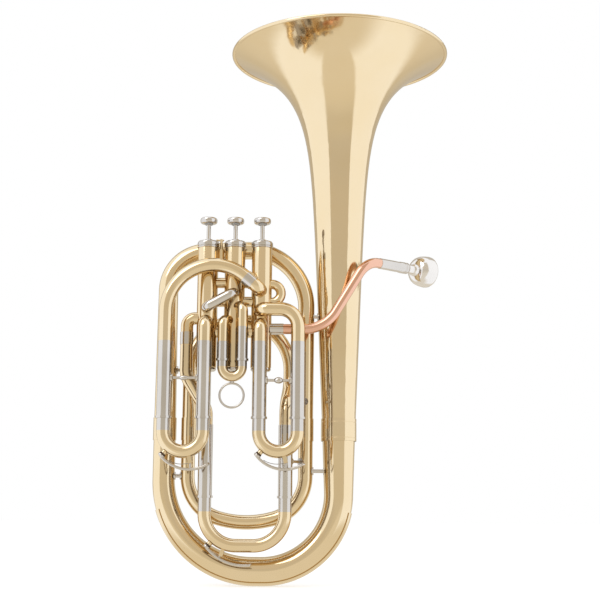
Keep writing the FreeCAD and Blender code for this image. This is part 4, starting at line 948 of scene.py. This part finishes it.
# Water keys. A sprung nickel lever under the bow presses a cork on the drain
# nipple. It turns on a pin between two ears soldered to the bow.
def round_through(start, middle, end, steps):
    """Points along the circle through three points of one upright plane."""
    ax, az, bx, bz, cx, cz = start.x, start.z, middle.x, middle.z, end.x, end.z
    double = 2 * (ax * (bz - cz) + bx * (cz - az) + cx * (az - bz))
    squares = [ax * ax + az * az, bx * bx + bz * bz, cx * cx + cz * cz]
    x = (squares[0] * (bz - cz) + squares[1] * (cz - az) + squares[2] * (az - bz)) / double
    z = (squares[0] * (cx - bx) + squares[1] * (ax - cx) + squares[2] * (bx - ax)) / double
    radius = math.hypot(ax - x, az - z)
    first = math.atan2(az - z, ax - x)
    last = math.atan2(cz - z, cx - x)
    turns = [first + (last - first) * i / steps for i in range(steps + 1)]
    return [Vector((x + radius * math.cos(t), start.y, z + radius * math.sin(t))) for t in turns]


def strap(name, points, halves, thick, material):
    """A flat strap with rounded edges along a line, its half width given at every point."""
    rings = []
    for point, way, half in zip(points, tangents(points), halves):
        side = way.cross(Vector((0, 1, 0)))
        ring = []
        for k in range(24):
            turn = math.tau * k / 24
            wide = math.copysign(abs(math.cos(turn)) ** 0.45, math.cos(turn)) * half
            tall = math.copysign(abs(math.sin(turn)) ** 0.6, math.sin(turn)) * thick / 2
            ring.append(point + Vector((0, wide, 0)) + side * tall)
        rings.append(ring)
    return skin(name, rings, material)


cup_profile = [
    (3.25, 2.1),
    (3.7, 2.1),
    (3.8, 2.4),
    (3.8, 3.4),
    (3.2, 4.4),
    (1.6, 5.0),
    (0.05, 5.2),
    (0.05, 2.75),
    (3.25, 2.75),
]
joints = {joint["name"]: joint for joint in frame["record"]["behaviour"]["joints"]}
for kind, bend, pad_angle, middle_angle, lift, end_angle, rise, pivot_angle in (
    ("first", 20.0, 229, 268, 4.4, 311, 9.3, 285),
    ("third", 20.65, 229, 268, 4.4, 311, 9.3, 285),
    ("main", 33.0, 229, 257, 4.2, 288, 9.2, 251),
):
    pivot = Vector(joints[f"{kind}_key_lift"]["pos_m"])
    skin_reach = (bend + 7.0) * mm
    turn = math.radians(pivot_angle)
    hub = pivot - Vector((math.cos(turn), 0, math.sin(turn))) * (skin_reach + 4.2 * mm)
    pad_reach = skin_reach + 6.15 * mm
    places = []
    for angle, more in ((pad_angle, 0.0), (middle_angle, lift), (end_angle, rise)):
        turn = math.radians(angle)
        places.append(hub + Vector((math.cos(turn), 0, math.sin(turn))) * (pad_reach + more * mm))
    points = round_through(*places, 40)
    halves = []
    for i in range(41):
        share = i / 40
        half = 2.4 + 0.3 * math.cos(share * math.tau) + 1.2 * max(0.0, share - 0.72) / 0.28
        halves.append(half * math.sqrt(max(0.03, 1 - max(0.0, (share - 0.93) / 0.07) ** 2)) * mm)
    lever = strap(f"{kind}_key_lever", points, halves, 2.9 * mm, nickel)
    turn = math.radians(pad_angle)
    out = Vector((math.cos(turn), 0, math.sin(turn)))
    seat = hub + out * (skin_reach + 2.25 * mm)
    plug = turned(
        f"{kind}_key_cork",
        [(0.05, 0.0), (2.8, 0.0), (3.2, 0.3), (3.2, 2.7), (0.05, 2.7)],
        seat,
        out,
        cork,
        steps=40,
    )
    cup = turned(
        f"{kind}_key_cup",
        cup_profile,
        seat,
        out,
        nickel,
        looped=True,
        steps=48,
    )
    barrel = turned(
        f"{kind}_key_barrel",
        [(0.95, -2.3), (1.7, -2.3), (1.9, -2.1), (1.9, 2.1), (1.7, 2.3), (0.95, 2.3)],
        pivot,
        Vector((0, 1, 0)),
        nickel,
        looped=True,
        steps=40,
    )
    nearest = min(points, key=lambda point: (point - pivot).length)
    away = (nearest - pivot).normalized()
    web = strap(f"{kind}_key_web", [pivot + away * 1.6 * mm, nearest], [1.5 * mm, 1.9 * mm], 2.0 * mm, nickel)
    coil = []
    for share in range(9):
        turn = math.radians(pivot_angle + (pad_angle + 14 - pivot_angle) * share / 8)
        reach = skin_reach + (5.6 + 0.5 * math.sin(math.pi * share / 8)) * mm
        coil.append(hub + Vector((math.cos(turn), 0, math.sin(turn))) * reach)
    spring = tube(f"{kind}_key_spring", coil, 0.38 * mm, 0.3 * mm, 0.25 * mm, steel, steps=10)
    for piece in (lever, plug, cup, barrel, web, spring):
        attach(piece, f"{kind}_key")
    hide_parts(f"{kind}_water_key")


# Compensating tubes. The slanting tube in front is nickel silver, while the
# small loop behind the first casing is brass.
loops = nodes["compensating_tubes"]
loops.data.materials.append(brass)
casing_1_x = (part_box("valve_casing_1")[0].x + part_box("valve_casing_1")[1].x) / 2
for face in loops.data.polygons:
    spot = loops.matrix_world @ face.center
    if spot.x > casing_1_x:
        face.material_index = len(loops.data.materials) - 1
